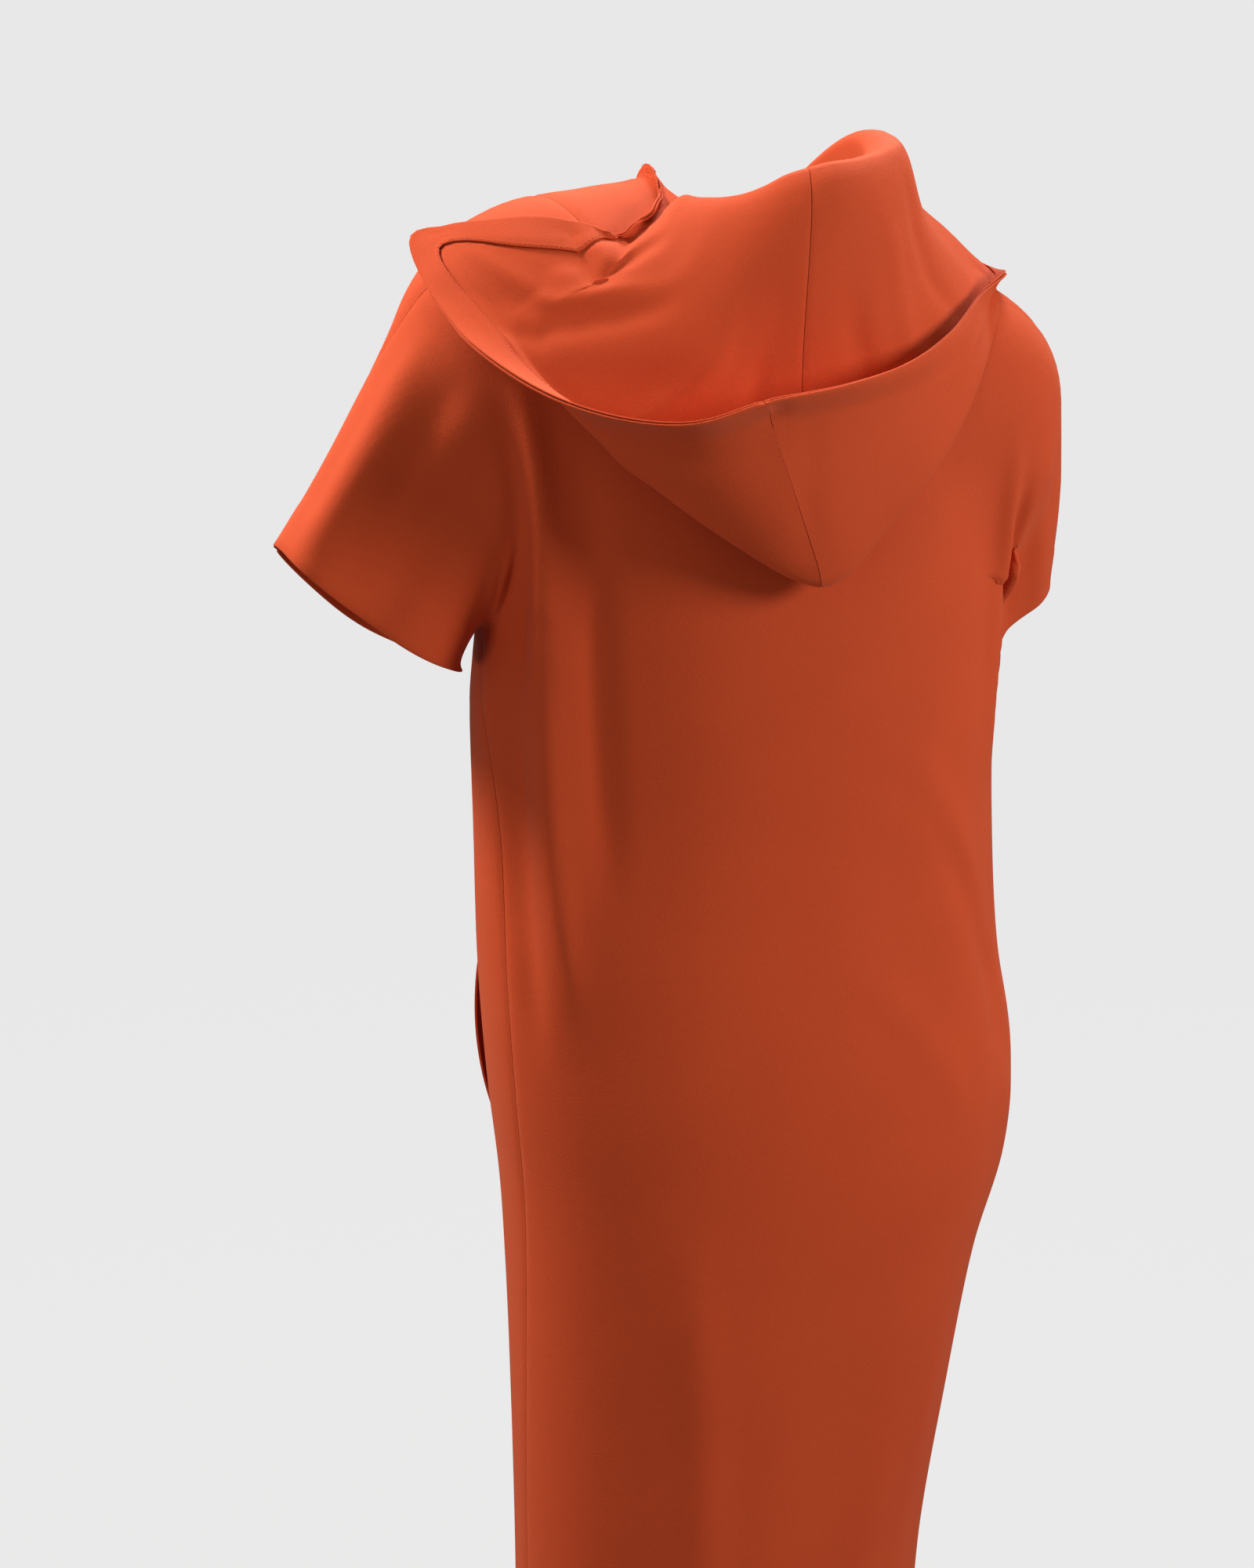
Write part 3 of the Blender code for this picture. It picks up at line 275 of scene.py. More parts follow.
def settle(p, along=None, steps=14, surface=None):
    """Moves points onto the form, freely or only square to the direction(s) `along`."""
    p = p.copy()
    surface = surface or form
    for _ in range(steps):
        f, g = surface(p), slope(surface, p)
        if along is not None:
            g = g - along * (g * along).sum(-1, keepdims=True)
        p -= np.clip(f / np.maximum((g * g).sum(-1), 0.05), -0.02, 0.02)[..., None] * g
    return p


def neck_point(deg):
    """The neckline at a turn from the nape, left positive."""
    a = np.radians(np.asarray(deg, float))
    c = np.cos(a)
    x = NECK_X + NECK_HALF * np.sin(a)
    y = np.where(c > 0, NECK_BACK, NECK_FRONT) * c
    z = np.full_like(x, 0.02)
    p = np.stack([x, y, z], -1)
    for _ in range(14):
        f, g = form(p), slope(form, p)[..., 2]
        p[..., 2] -= np.clip(f / np.maximum(g, 0.2), -0.02, 0.02)
    return p


# ---------------------------------------------------------------- folds
def fold_height(p):
    """Ridges and troughs of the dress at points on the form."""
    a, bf, bb, cx, cy, n = np.moveaxis(smooth_rows(BODY, p[..., 2]), -1, 0)
    dx, dy = (p[..., 0] - cx) / a, (p[..., 1] - cy)
    turn = np.degrees(np.arctan2(dy / np.where(dy > 0, bb, bf), dx)) % 360
    out = np.zeros(p.shape[:-1])
    for t0, z0, t1, z1, half, height in FOLDS:
        k = (p[..., 2] - z0) / (z1 - z0)
        mid = t0 + (t1 - t0) * np.clip(k, 0, 1)
        across = np.radians(turn - mid) * 0.15
        fade = ease(k / 0.22) * ease((1 - k) / 0.30)
        out += height * np.exp(-((across / half) ** 2)) * fade
    keep = ease((-0.03 - p[..., 2]) / 0.06)
    out *= keep
    for row in SLEEVES:
        start, axis, wide, deep = sleeve_frame(row)
        q = p - start
        s = (q @ axis) / row[6]
        turn = np.degrees(np.arctan2(q @ deep, q @ wide)) % 360
        near = ease((s - 0.15) / 0.5) * ease((np.abs(p[..., 0]) - 0.165) / 0.035)
        for side, mid, k0, k1, half, height in ARM_FOLDS:
            if side == row[0]:
                d = (turn - mid + 180) % 360 - 180
                out += height * np.exp(-((d / half) ** 2)) * ease((s - k0) / 0.6) * near
    return out


# ---------------------------------------------------------------- panels of the dress
def arm_turn(share, k, behind):
    """Turn of a column of a sleeve half, from the seam along its top (0) to the one under the arm (1)."""
    top = ARM_SEAM_TOP + (ARM_SEAM_HEM - ARM_SEAM_TOP) * ease(k / 0.4)
    return top + ((180.0 if behind else -180.0) - top) * share


def tube_point(row, turns, s):
    """Points of a sleeve's own tube at turns from its overarm and distances s along it."""
    start, axis, wide, deep = sleeve_frame(row)
    length, w0, d0, w1, d1 = row[6:11]
    bulge = row[12]
    t, kk = np.radians(turns), s / length
    more = bulge * np.clip(4 * kk * (1 - kk), 0, 1)
    w, d = w0 + (w1 - w0) * kk + more, d0 + (d1 - d0) * kk + more
    return start + axis * s[..., None] + wide * (w * np.cos(t))[..., None] + deep * (d * np.sin(t))[..., None]


def arm_ring(row, turns, k):
    """Points of a sleeve: turns from the overarm (degrees, 90 behind), k from the armhole 0 to the hem 1."""
    axis = sleeve_frame(row)[1]
    length, tilt, dip = row[6], row[11], row[13]
    c = np.cos(np.radians(turns))
    low = length * (0.06 + 0.40 * (1 - c) / 2)
    # the armhole follows the line where the tube comes out of the body
    tries = np.linspace(0, length, 80)
    inside = column_distance(tube_point(row, turns[..., None] + 0 * tries, tries + 0 * turns[..., None])) < 0.004
    out = np.max(np.where(inside, tries, 0), axis=-1)
    s0 = smin(smax(low, out, 0.03), length * 0.84 + 0 * low, 0.02)
    s1 = length * (1 + math.tan(math.radians(tilt)) * 0.5 * c + dip * (1 - c * c))
    p = tube_point(row, turns, s0 + (s1 - s0) * k)
    # the upper and outer side lies on the form, the inner side stays a tube that keeps clear of the body
    inner = p.copy()
    for _ in range(10):
        g = slope(column_distance, inner)
        g = unit(g - axis * (g * axis).sum(-1, keepdims=True))
        inner += g * np.maximum(ARM_GAP * k - column_distance(inner), 0)[..., None]
    e = ease((np.abs(turns) - 110) / 50)[..., None]
    return settle(p, along=axis) * (1 - e) + inner * e


def arm_grid(side, behind, n_around, n_along):
    row = SLEEVES[0] if side == "left" else SLEEVES[1]
    q, k = np.linspace(0, 1, n_around + 1), np.linspace(0, 1, n_along + 1)
    grid = np.stack([arm_ring(row, arm_turn(q, v, behind), v) for v in k], 1)      # [around, along]
    weight = (1 - ease(k / 0.5))[None] * (1 - ease((q - 0.5) / 0.25))[:, None]
    folds = (1 - ease((q - 0.55) / 0.25))[:, None] + 0 * k[None]
    return grid, np.stack([weight, folds], -1)


def top_edge(u, behind):
    """The upper edge of the back or front from the right shoulder point (-1) to the left (1)."""
    u = np.asarray(u, float)
    un = 0.36
    out = np.zeros(u.shape + (3,))
    seam = SHOULDER_SEAM_DEG
    for i, v in np.ndenumerate(u):
        side = 1 if v >= 0 else -1
        if abs(v) <= un:
            deg = seam * v / un if behind else side * (180 - (180 - seam) * abs(v) / un)
            out[i] = neck_point(deg)
        else:
            a = neck_point(side * seam)
            row = SLEEVES[0] if side > 0 else SLEEVES[1]
            b = arm_ring(row, np.array([arm_turn(0, 0, behind)]), 0)[0]
            k = (abs(v) - un) / (1 - un)
            out[i] = a + (b - a) * k + np.array([0, SHOULDER_SEAM_BOW * math.sin(math.pi * k), 0])
    line = np.abs(u) > un
    fixed = np.abs(np.abs(u) - 1) < 1e-9
    move = line & ~fixed
    if move.any():
        q = out[move]
        for _ in range(12):
            f, g = form(q), slope(form, q)[..., 2]
            q[..., 2] -= np.clip(f / np.maximum(g, 0.2), -0.02, 0.02)
        out[move] = q
    return out


def section_point(turn, z):
    """A point of the plain level section at a turn (degrees from the left) and a height."""
    a, bf, bb, cx, cy, n = np.moveaxis(smooth_rows(BODY, z), -1, 0)
    t = np.radians(turn)
    c, s = np.cos(t), np.sin(t)
    x = cx + a * np.sign(c) * np.abs(c) ** (2 / n)
    y = cy + np.where(s > 0, bb, bf) * np.sign(s) * np.abs(s) ** (2 / n)
    return np.stack([x, y, z], -1)


def section_turn(p):
    """The turn of a point that lies on the plain section."""
    a, bf, bb, cx, cy, n = np.moveaxis(smooth_rows(BODY, p[..., 2]), -1, 0)
    dx, dy = (p[..., 0] - cx) / a, p[..., 1] - cy
    dy = dy / np.where(dy > 0, bb, bf)
    return np.degrees(np.arctan2(np.sign(dy) * np.abs(dy) ** (n / 2), np.sign(dx) * np.abs(dx) ** (n / 2)))


def side_turn(c, behind, z, corner=None):
    """Turn round the body of a column c of a panel at a height. The front's columns lean with the princess seam. The
    side seams leave from the underarm points `corner` (right, left) and then keep their place behind the widest
    point."""
    share, s = np.moveaxis(smooth_rows(SEAMS, z), -1, 0)
    if corner is not None:
        for k, sign in ((0, -1), (1, 1)):
            at = section_turn(corner[k])
            at = at if sign > 0 else (180 - at + 180) % 360 - 180
            off = at - smooth_rows(SEAMS, corner[k][2])[..., 1]
            s = s + np.where(c * sign > 0, off * np.exp(-(np.minimum(z - corner[k][2], 0) / 0.075) ** 2), 0)
    u = lean(c, share)
    return np.where(behind, 90 - u * (90 - s), 270 + u * (90 + s))


def lean(c, princess):
    """Moves the column at PRINCESS_C to the princess seam's place, and its neighbours with it."""
    a = np.abs(c)
    return np.sign(c) * np.where(a < PRINCESS_C, a * princess / PRINCESS_C,
                                 1 - (1 - a) * (1 - princess) / (1 - PRINCESS_C))


LEVEL = np.array([0.0, 0.0, 1.0])
PRINCESS_C = 0.62


def body_grid(behind, us, n_upper, rows_below=LOWER_ROWS):
    """Points of the back or the front, [across, down]. The first n_upper rows reach the underarm."""
    us = np.asarray(us, float)
    top = top_edge(lean(us, PRINCESS_TOP), behind)
    rows = SLEEVES[1], SLEEVES[0]
    v = np.linspace(0, 1, n_upper + 1)
    edge = [np.stack([arm_ring(r, np.array([arm_turn(q, 0, behind)]), 0)[0] for q in v]) for r in rows]
    low_z = edge[0][-1][2] + (edge[1][-1][2] - edge[0][-1][2]) * (us + 1) / 2
    corner = edge[0][-1], edge[1][-1]
    base = section_point(side_turn(us, behind, low_z, corner), low_z)
    base[np.isclose(us, -1)], base[np.isclose(us, 1)] = edge[0][-1], edge[1][-1]
    # between its four edges, then moved onto the form; towards the underarm onto the body alone
    w = v[None, :, None]
    g = top[:, None] * (1 - w) + base[:, None] * w
    for e, near in ((edge[0], (1 - us) / 2), (edge[1], (1 + us) / 2)):
        g = g + (e[None] - e[0] * (1 - w) - e[-1] * w) * near[:, None, None] ** 2.6
    inner = np.abs(us) < 1 - 1e-9
    part = ease((180 * v - 110) / 50)
    free = g[inner, 1:-1]
    g[inner, 1:-1] = (settle(free) * (1 - part[1:-1, None])
                      + settle(free, surface=column_distance) * part[1:-1, None])
    lower = (np.array(rows_below) - UNDERARM_Z) / (HEM_Z - UNDERARM_Z)
    z = low_z[:, None] + (HEM_Z - low_z[:, None]) * lower[None]
    turn = side_turn(np.broadcast_to(us[:, None], z.shape), behind, z, corner)
    low = section_point(turn, z)
    weight = np.exp(-(((np.abs(g[..., 0]) - 0.17) / 0.07) ** 2)) * (1 - part)
    weight = np.concatenate([weight, np.zeros(z.shape)], 1)
    return np.concatenate([g, low], 1), np.stack([weight, np.ones_like(weight)], -1)


def quads_of(grid, outward=None):
    """Points and quads of a grid, turned so that their normals agree with the directions `outward`."""
    n, m = grid.shape[:2]
    i = np.arange(n * m).reshape(n, m)
    q = np.stack([i[:-1, :-1], i[1:, :-1], i[1:, 1:], i[:-1, 1:]], -1).reshape(-1, 4)
    p = grid.reshape(-1, 3)
    if outward is not None and (face_normals(p, q) * outward(p[q].mean(1))).sum() < 0:
        q = q[:, ::-1]
    return p, q


class Sheet:
    """A welded surface of several labelled patches."""

    def __init__(self):
        self.points, self.faces, self.labels, self.weights = [], [], [], []
        self.count = 0

    def add(self, points, faces, label, weight):
        self.points.append(points)
        self.weights.append(weight.reshape(-1, 2))
        self.faces.append(faces + self.count)
        self.labels += [label] * len(faces) if isinstance(label, str) else list(label)
        self.count += len(points)

    def weld(self, reach=2e-5):
        p, f = np.concatenate(self.points), np.concatenate(self.faces)
        key, first, inverse = np.unique(np.round(p / reach).astype(np.int64), axis=0, return_index=True, return_inverse=True)
        inverse = inverse.reshape(-1)
        weight = np.ones((len(first), 2))
        np.minimum.at(weight, inverse, np.concatenate(self.weights))
        return p[first], inverse[f], np.array(self.labels), weight


def face_normals(p, f):
    return np.cross(p[f[:, 2]] - p[f[:, 0]], p[f[:, 3]] - p[f[:, 1]])


def vertex_normals(p, f):
    n, fn = np.zeros_like(p), face_normals(p, f)
    for k in range(4):
        np.add.at(n, f[:, k], fn)
    return unit(n)


def rim_edges(f):
    e = np.concatenate([f[:, [k, (k + 1) % 4]] for k in range(4)])
    seen = {}
    for a, b in e:
        seen[(int(a), int(b))] = True
    return [(a, b) for a, b in seen if (b, a) not in seen]


def relax(p, f, weight, rounds):
    """Evens a surface where weight is above zero."""
    for _ in range(rounds):
        total, n = np.zeros_like(p), np.zeros(len(p))
        for k in range(4):
            a, b = f[:, k], f[:, (k + 1) % 4]
            np.add.at(total, a, p[b])
            np.add.at(total, b, p[a])
            np.add.at(n, a, 1)
            np.add.at(n, b, 1)
        mean = total / np.maximum(n, 1)[:, None]
        p = p + (mean - p) * (0.5 * weight)[:, None]
    return p


def dress_surface(n_body, n_upper, n_arm):
    """The whole dress without its hood: points, quads, labels, and how far each point is evened and takes folds."""
    inner = np.linspace(0, PRINCESS_C, n_body // 3 + 1)
    outer = np.linspace(PRINCESS_C, 1, n_body // 6 + 1 + n_body // 12)
    half = np.concatenate([inner, outer[1:]])
    us = np.concatenate([-half[::-1], half[1:]])
    s = Sheet()
    for behind in (True, False):
        g, weight = body_grid(behind, us, n_upper)
        pts, q = quads_of(g, form_slope)
        mid = (us[:-1] + us[1:]) / 2
        if behind:
            label = ["back"] * len(q)
        else:
            names = np.where(mid > PRINCESS_C, "front_side_left", np.where(mid < -PRINCESS_C, "front_side_right", "front"))
            label = np.repeat(names, g.shape[1] - 1)
        s.add(pts, q, list(label), weight)
        for side in ("left", "right"):
            a, weight = arm_grid(side, behind, n_upper, n_arm)
            pts, q = quads_of(a, form_slope)
            s.add(pts, q, "back" if behind else "front_side_" + side, weight)
    return s.weld()


def under_arm(p):
    """One at the points where side seam and sleeve meet, falling off round them."""
    out = np.zeros(len(p))
    for row in SLEEVES:
        corner = arm_ring(row, np.array([180.0]), 0)[0]
        out = np.maximum(out, np.exp(-((np.linalg.norm(p - corner, axis=1) / 0.034) ** 2)))
    return out


def finish_surface(p, f, weight, rounds):
    """Evens the joins of body and sleeves, then raises the folds."""
    near = weight[:, 0].copy()
    for a, b in rim_edges(f):
        near[[a, b]] = 0
    held = near > 0.02
    under = under_arm(p)
    for a, b in rim_edges(f):
        under[[a, b]] = 0
    p = relax(p, f, under, rounds * 4)
    held &= under < 0.1
    for _ in range(3):
        p = relax(p, f, near, rounds)
        p[held] = settle(p[held], steps=4)
    p = relax(p, f, near, max(1, rounds // 4))
    n = vertex_normals(p, f)
    return p + n * (fold_height(p) * weight[:, 1])[:, None]


# ---------------------------------------------------------------- the hood
def hood_line(s, fine_t, rows=HOOD):
    """Points of the hood from the neckline to the face edge along each s: [s, t], and each point's share of the way.
    There are HOOD_STEPS steps, closer at the folds, and then CASING_STEPS steps over the casing."""
    s = np.asarray(s, float)
    v = smooth_rows(rows, s)
    neck = neck_point(v[:, 0])
    away = unit((neck - np.array([NECK_X, 0, 0])) * np.array([1.0, 1.0, 0.0]) + 1e-9)
    foot = neck + LEVEL * 0.0021
    top = foot + LEVEL * v[:, 1:2] + away * v[:, 2:3]
    over = top + away * (0.7 * v[:, 2:3] + 0.25 * v[:, 1:2] * np.clip(v[:, 2:3] / 0.01, 0, 1)) + LEVEL * 0.05 * v[:, 1:2]
    mid, fold, rim = v[:, 3:6], v[:, 6:9], v[:, 9:12]
    # the pouch turns round a small radius at its fold
    up, back = np.linalg.norm(mid - fold, axis=1), np.linalg.norm(rim - fold, axis=1)
    turn_in = fold + (mid - fold) * np.clip(0.016 / np.maximum(up, 1e-6), 0, 0.4)[:, None]
    turn_out = fold + (rim - fold) * np.clip(0.016 / np.maximum(back, 1e-6), 0, 0.4)[:, None]
    turn_out[:, 1] += 0.004 * ease((fold[:, 1] - 0.05) / 0.06)
    keys = np.stack([foot, foot + (top - foot) * 0.55, top, over, mid, turn_in, fold, turn_out, rim], 1)
    span = np.linalg.norm(np.diff(keys, axis=1), axis=2) ** 0.75 + 1e-4
    knots = np.concatenate([np.zeros((len(s), 1)), np.cumsum(span, 1)], 1)
    n = (HOOD_STEPS + CASING_STEPS) * fine_t + 1
    out, share = np.zeros((len(s), n, 3)), np.zeros((len(s), n))
    for i in range(len(s)):
        fine = np.linspace(0, knots[i, -1], 300)
        c = smooth_rows(np.column_stack([knots[i], keys[i]]), fine)
        d = np.concatenate([[0], np.cumsum(np.linalg.norm(np.diff(c, axis=0), axis=1))])
        at = np.interp(knots[i], fine, d)
        _, _, d_top, d_over, d_mid, d_in, d_fold, d_out, d_rim = at
        casing = min(CASING, max(0.36 * (d_rim - d_fold), 0.8 * (d_rim - d_fold) - 0.013))
        d_out = d_fold + min(d_out - d_fold, 0.55 * (d_rim - d_fold - casing))
        marks = [0, d_top / 2, d_top, d_over, (d_over + d_mid) / 2, d_mid, (d_mid + d_in) / 2, d_in, d_fold, d_out,
                 d_rim - casing]
        marks += [d_rim - casing * (1 - (k + 1) / CASING_STEPS) for k in range(CASING_STEPS)]
        at = np.interp(np.arange(n) / fine_t, np.arange(len(marks)), marks)
        out[i] = np.stack([np.interp(at, d, c[:, k]) for k in range(3)], 1)
        share[i] = at / d[-1]
    return out, share


def grid_normals(g):
    """Towards the inner face of the hood's cloth."""
    du, dv = np.gradient(g, axis=0), np.gradient(g, axis=1)
    return unit(np.cross(dv, du))


def hood_surface(n_s, fine_t, air=CLEAR + CLOTH):
    """The inner face of the hood, [s, t], with the places along s and the shares t."""
    s = np.linspace(-1, 1, 2 * n_s + 1)
    g, t = hood_line(s, fine_t)
    n = grid_normals(g)
    lift = np.zeros(g.shape[:2])
    for s0, half, height, t0, t1 in PLEATS:
        lift += height * np.exp(-(((s - s0) / half) ** 2))[:, None] * ease((t - t0) / (t1 - t0))
    reach = np.linalg.norm(np.diff(g, axis=1), axis=2).sum(1)[:, None]
    g = g + n * (lift * ease((reach - 0.02) / 0.06))[..., None]
    # the hood rests on the dress, and stays clear of it
    for _ in range(6):
        f = form(g) - fold_height(g)
        d = unit(slope(form, g))
        need = (air - f) * (f < air) * ease(t / 0.06)
        g = g + d * need[..., None]
    return s, t, g


def seam_pull(p, f, labels, name, gap):
    """Draws a panel back from the seams it shares with other panels."""
    mine, other = f[labels == name], f[labels != name]
    shared = np.intersect1d(np.unique(mine), np.unique(other))
    pull = np.zeros_like(p)
    if not len(shared):
        return mine, pull
    mark = np.zeros(len(p), bool)
    mark[shared] = True
    rim = [(a, b) for a, b in rim_edges(mine) if mark[a] and mark[b]]
    n = vertex_normals(p, f)
    for a, b in rim:
        side = np.cross(n[a] + n[b], p[b] - p[a])
        side = side / max(np.linalg.norm(side), 1e-12)
        for k in (a, b):
            pull[k] += side
    size = np.linalg.norm(pull, axis=1, keepdims=True)
    return mine, np.where(size > 1e-9, pull / np.maximum(size, 1e-9) * gap, 0)


def pocket_open(p, f, labels, side):
    """Parts the princess seam at the hip: the edge of the front stands out and draws back. Moves for the front."""
    name = "front_side_" + side
    shared = np.intersect1d(np.unique(f[labels == "front"]), np.unique(f[labels == name]))
    k = (POCKET_TOP - p[shared, 2]) / (POCKET_TOP - POCKET_END)
    inside = (k > 0) & (k < 1)
    lens = np.where(inside, np.sin(np.pi * np.clip(k, 0, 1)) ** 0.8, 0)
    return shared, lens


# ================================================================ the fine cloth on that form
# resolution of the fine surfaces
FINE_INNER, FINE_OUTER, FINE_UPPER, FINE_ARM = 30, 17, 46, 30
FINE_ROW = 0.0062
FINE_HOOD_S, FINE_HOOD_T = 120, 6
CLOTH_ROUND = 0.55       # how round a free edge is, as a share of the cloth's thickness
HEM_DEPTH, HEM_LIFT = 0.030, 0.0005            # the turned hem of skirt and sleeves
SEAM_HALF, SEAM_DIP = 0.0028, 0.0009           # the dent of a pressed seam: half its width, and its depth

# creases of the dress, each a soft trough (-) or ridge (+): the turn round the body from the left side in degrees and
# the height of its two ends, how far its middle bows (degrees), half its width and its height
CREASE_COLUMNS = ("turn_0", "z_0", "turn_1", "z_1", "bow", "half_width", "height")
CREASES = [
    (27.0, -0.085, 33.0, -0.300, 2.0, 0.0085, 0.0062),
    (33.0, -0.250, 40.0, -0.520, -1.5, 0.0090, 0.0042),
    (20.0, -0.110, 25.0, -0.330, 1.0, 0.0085, -0.0048),
    (24.0, -0.300, 27.0, -0.560, -1.0, 0.0100, -0.0032),
    (42.0, -0.130, 49.0, -0.460, 1.0, 0.0120, -0.0049),
    (151.0, -0.125, 154.0, -0.330, -1.0, 0.0080, 0.0049),
    (158.0, -0.150, 162.0, -0.300, 1.5, 0.0070, -0.0049),
    (164.0, -0.255, 163.0, -0.330, 0.0, 0.0050, 0.0052),
    (168.0, -0.262, 167.0, -0.318, 0.0, 0.0050, -0.0038),
    (108.0, -0.330, 146.0, -0.505, 5.0, 0.0150, 0.0029),
    (116.0, -0.372, 152.0, -0.560, 4.0, 0.0120, -0.0023),
    (98.0, -0.480, 128.0, -0.620, 3.0, 0.0140, 0.0019),
    (60.0, -0.640, 72.0, -0.960, 2.0, 0.0150, 0.0026),
    (76.0, -0.760, 84.0, -1.140, -1.0, 0.0170, -0.0023),
    (118.0, -0.760, 110.0, -1.160, 1.0, 0.0160, 0.0023),
    (146.0, -0.700, 138.0, -1.060, -2.0, 0.0140, -0.0020),
    (228.0, -0.150, 236.0, -0.360, 2.0, 0.0100, 0.0035),
    (240.0, -0.170, 245.0, -0.420, -1.0, 0.0090, -0.0029),
    (312.0, -0.150, 304.0, -0.370, -2.0, 0.0100, 0.0035),
    (300.0, -0.180, 296.0, -0.430, 1.0, 0.0090, -0.0026),
    (262.0, -0.300, 256.0, -0.520, 1.0, 0.0140, -0.0020),
    (290.0, -0.620, 284.0, -1.000, 1.5, 0.0150, 0.0023),
    (252.0, -0.660, 258.0, -1.080, -1.0, 0.0160, 0.0023),
    (270.0, -0.780, 268.0, -1.120, 1.0, 0.0150, -0.0022),
]
# creases of the sleeves: turn from the overarm (90 is behind) and share of the way to the hem, for both ends
ARM_CREASE_COLUMNS = ("side", "turn_0", "k_0", "turn_1", "k_1", "half_width", "height")
ARM_CREASES = [
    ("left", 30.0, 0.10, 36.0, 1.10, 0.0105, 0.0046), ("left", 54.0, 0.15, 60.0, 1.10, 0.0120, -0.0044),
    ("left", 104.0, 0.25, 98.0, 1.05, 0.0100, 0.0018), ("left", 128.0, 0.05, 116.0, 0.70, 0.0080, -0.0020),
    ("left", 318.0, 0.20, 310.0, 1.05, 0.0110, 0.0022), ("left", 282.0, 0.25, 288.0, 1.00, 0.0100, -0.0020),
    ("right", 62.0, 0.15, 58.0, 1.05, 0.0090, 0.0020), ("right", 88.0, 0.20, 92.0, 1.10, 0.0085, -0.0022),
    ("right", 128.0, 0.10, 116.0, 0.85, 0.0080, 0.0024), ("right", 150.0, 0.05, 140.0, 0.60, 0.0070, -0.0022),
    ("right", 306.0, 0.15, 314.0, 1.00, 0.0100, 0.0020), ("right", 276.0, 0.25, 270.0, 0.95, 0.0090, -0.0018),
]
# creases of the hood, in its own places: s along the neckline and t from the neckline to the face edge, for both ends
HOOD_CREASE_COLUMNS = ("s_0", "t_0", "s_1", "t_1", "half_width", "height")
HOOD_CREASES = [
    (-0.300, 0.30, -0.250, 0.95, 0.0075, -0.0024), (-0.345, 0.35, -0.320, 0.92, 0.0060, 0.0020),
    (-0.420, 0.30, -0.400, 0.90, 0.0060, -0.0022), (-0.200, 0.40, -0.150, 0.80, 0.0090, 0.0024),
    (-0.110, 0.42, -0.060, 0.72, 0.0080, -0.0026), (-0.020, 0.70, 0.050, 0.95, 0.0070, 0.0018),
    (-0.180, 0.78, -0.060, 0.86, 0.0070, -0.0020), (0.100, 0.35, 0.140, 0.62, 0.0090, -0.0020),
    (0.240, 0.30, 0.200, 0.70, 0.0100, 0.0018), (0.330, 0.30, 0.300, 0.75, 0.0090, -0.0018),
    (0.520, 0.35, 0.500, 0.85, 0.0080, 0.0014), (0.680, 0.30, 0.660, 0.85, 0.0080, -0.0014),
    (0.000, 0.93, 0.012, 1.00, 0.0050, 0.0016),
]

# the soft roll of the hood's face edge: how far down it starts, and how far it goes out and down
RIM_COLUMNS = ("s", "wide", "out", "down")
RIM_ROLL = [(-1.00, 0.020, 0.0, 0.0), (-0.37, 0.020, 0.0, 0.0), (-0.31, 0.030, 0.0040, 0.0040), (-0.22, 0.040, 0.0110, 0.0110),
            (-0.08, 0.042, 0.0140, 0.0140), (0.03, 0.040, 0.0130, 0.0125), (0.15, 0.034, 0.0095, 0.0075),
            (0.30, 0.028, 0.0045, 0.0025), (0.45, 0.022, 0.0010, 0.0), (1.00, 0.020, 0.0, 0.0)]
# where the hood is only a narrow band beside the neck: it grows straight up from the neckline, this high, and its
# foot sits this far down and in, behind the edge of the dress
BAND_S, BAND_FADE, BAND_HIGH = -0.43, 0.09, 0.006
BAND_DOWN, BAND_IN = 0.0110, 0.0030

UNDER_REACH = (0.029, 0.045)     # how far round the left and the right underarm the cloth is evened

STITCH_PITCH, STITCH_LENGTH, STITCH_RADIUS, STITCH_IN = 0.0032, 0.0023, 0.00017, 0.0016


def near_line(p, line, half, height, fade=0.30):
    """Lift of points near a line of points, strongest in its middle stretch and fading to its ends."""
    best, along = np.full(len(p), 1e9), np.zeros(len(p))
    step = np.linalg.norm(np.diff(line, axis=0), axis=1)
    start = np.concatenate([[0], np.cumsum(step)])
    for a, b, s0, d in zip(line[:-1], line[1:], start[:-1], step):
        k = np.clip(((p - a) @ (b - a)) / max(d * d, 1e-12), 0, 1)
        q = np.linalg.norm(p - (a + k[:, None] * (b - a)), axis=1)
        nearer = q < best
        best = np.where(nearer, q, best)
        along = np.where(nearer, (s0 + k * d) / start[-1], along)
    return height * np.exp(-((best / half) ** 2)) * ease(along / fade) * ease((1 - along) / fade)


def body_line(row):
    """A crease of the body as a line of points on the form."""
    t0, z0, t1, z1, bow = row[:5]
    k = np.linspace(0, 1, 12)
    turn = t0 + (t1 - t0) * k + bow * np.sin(np.pi * k)
    return settle(section_point(turn, z0 + (z1 - z0) * k), steps=6)


def arm_line(row):
    side, t0, k0, t1, k1 = row[:5]
    r = SLEEVES[0] if side == "left" else SLEEVES[1]
    k = np.linspace(0, 1, 9)
    turn = t0 + (t1 - t0) * k
    turn = (turn + 180) % 360 - 180
    return tube_point(r, turn, r[6] * (k0 + (k1 - k0) * k))


def crease_lift(p):
    out = np.zeros(len(p))
    for row in CREASES:
        out += near_line(p, body_line(row), row[5], row[6])
    for row in ARM_CREASES:
        out += near_line(p, arm_line(row), row[5], row[6], 0.25)
    return out


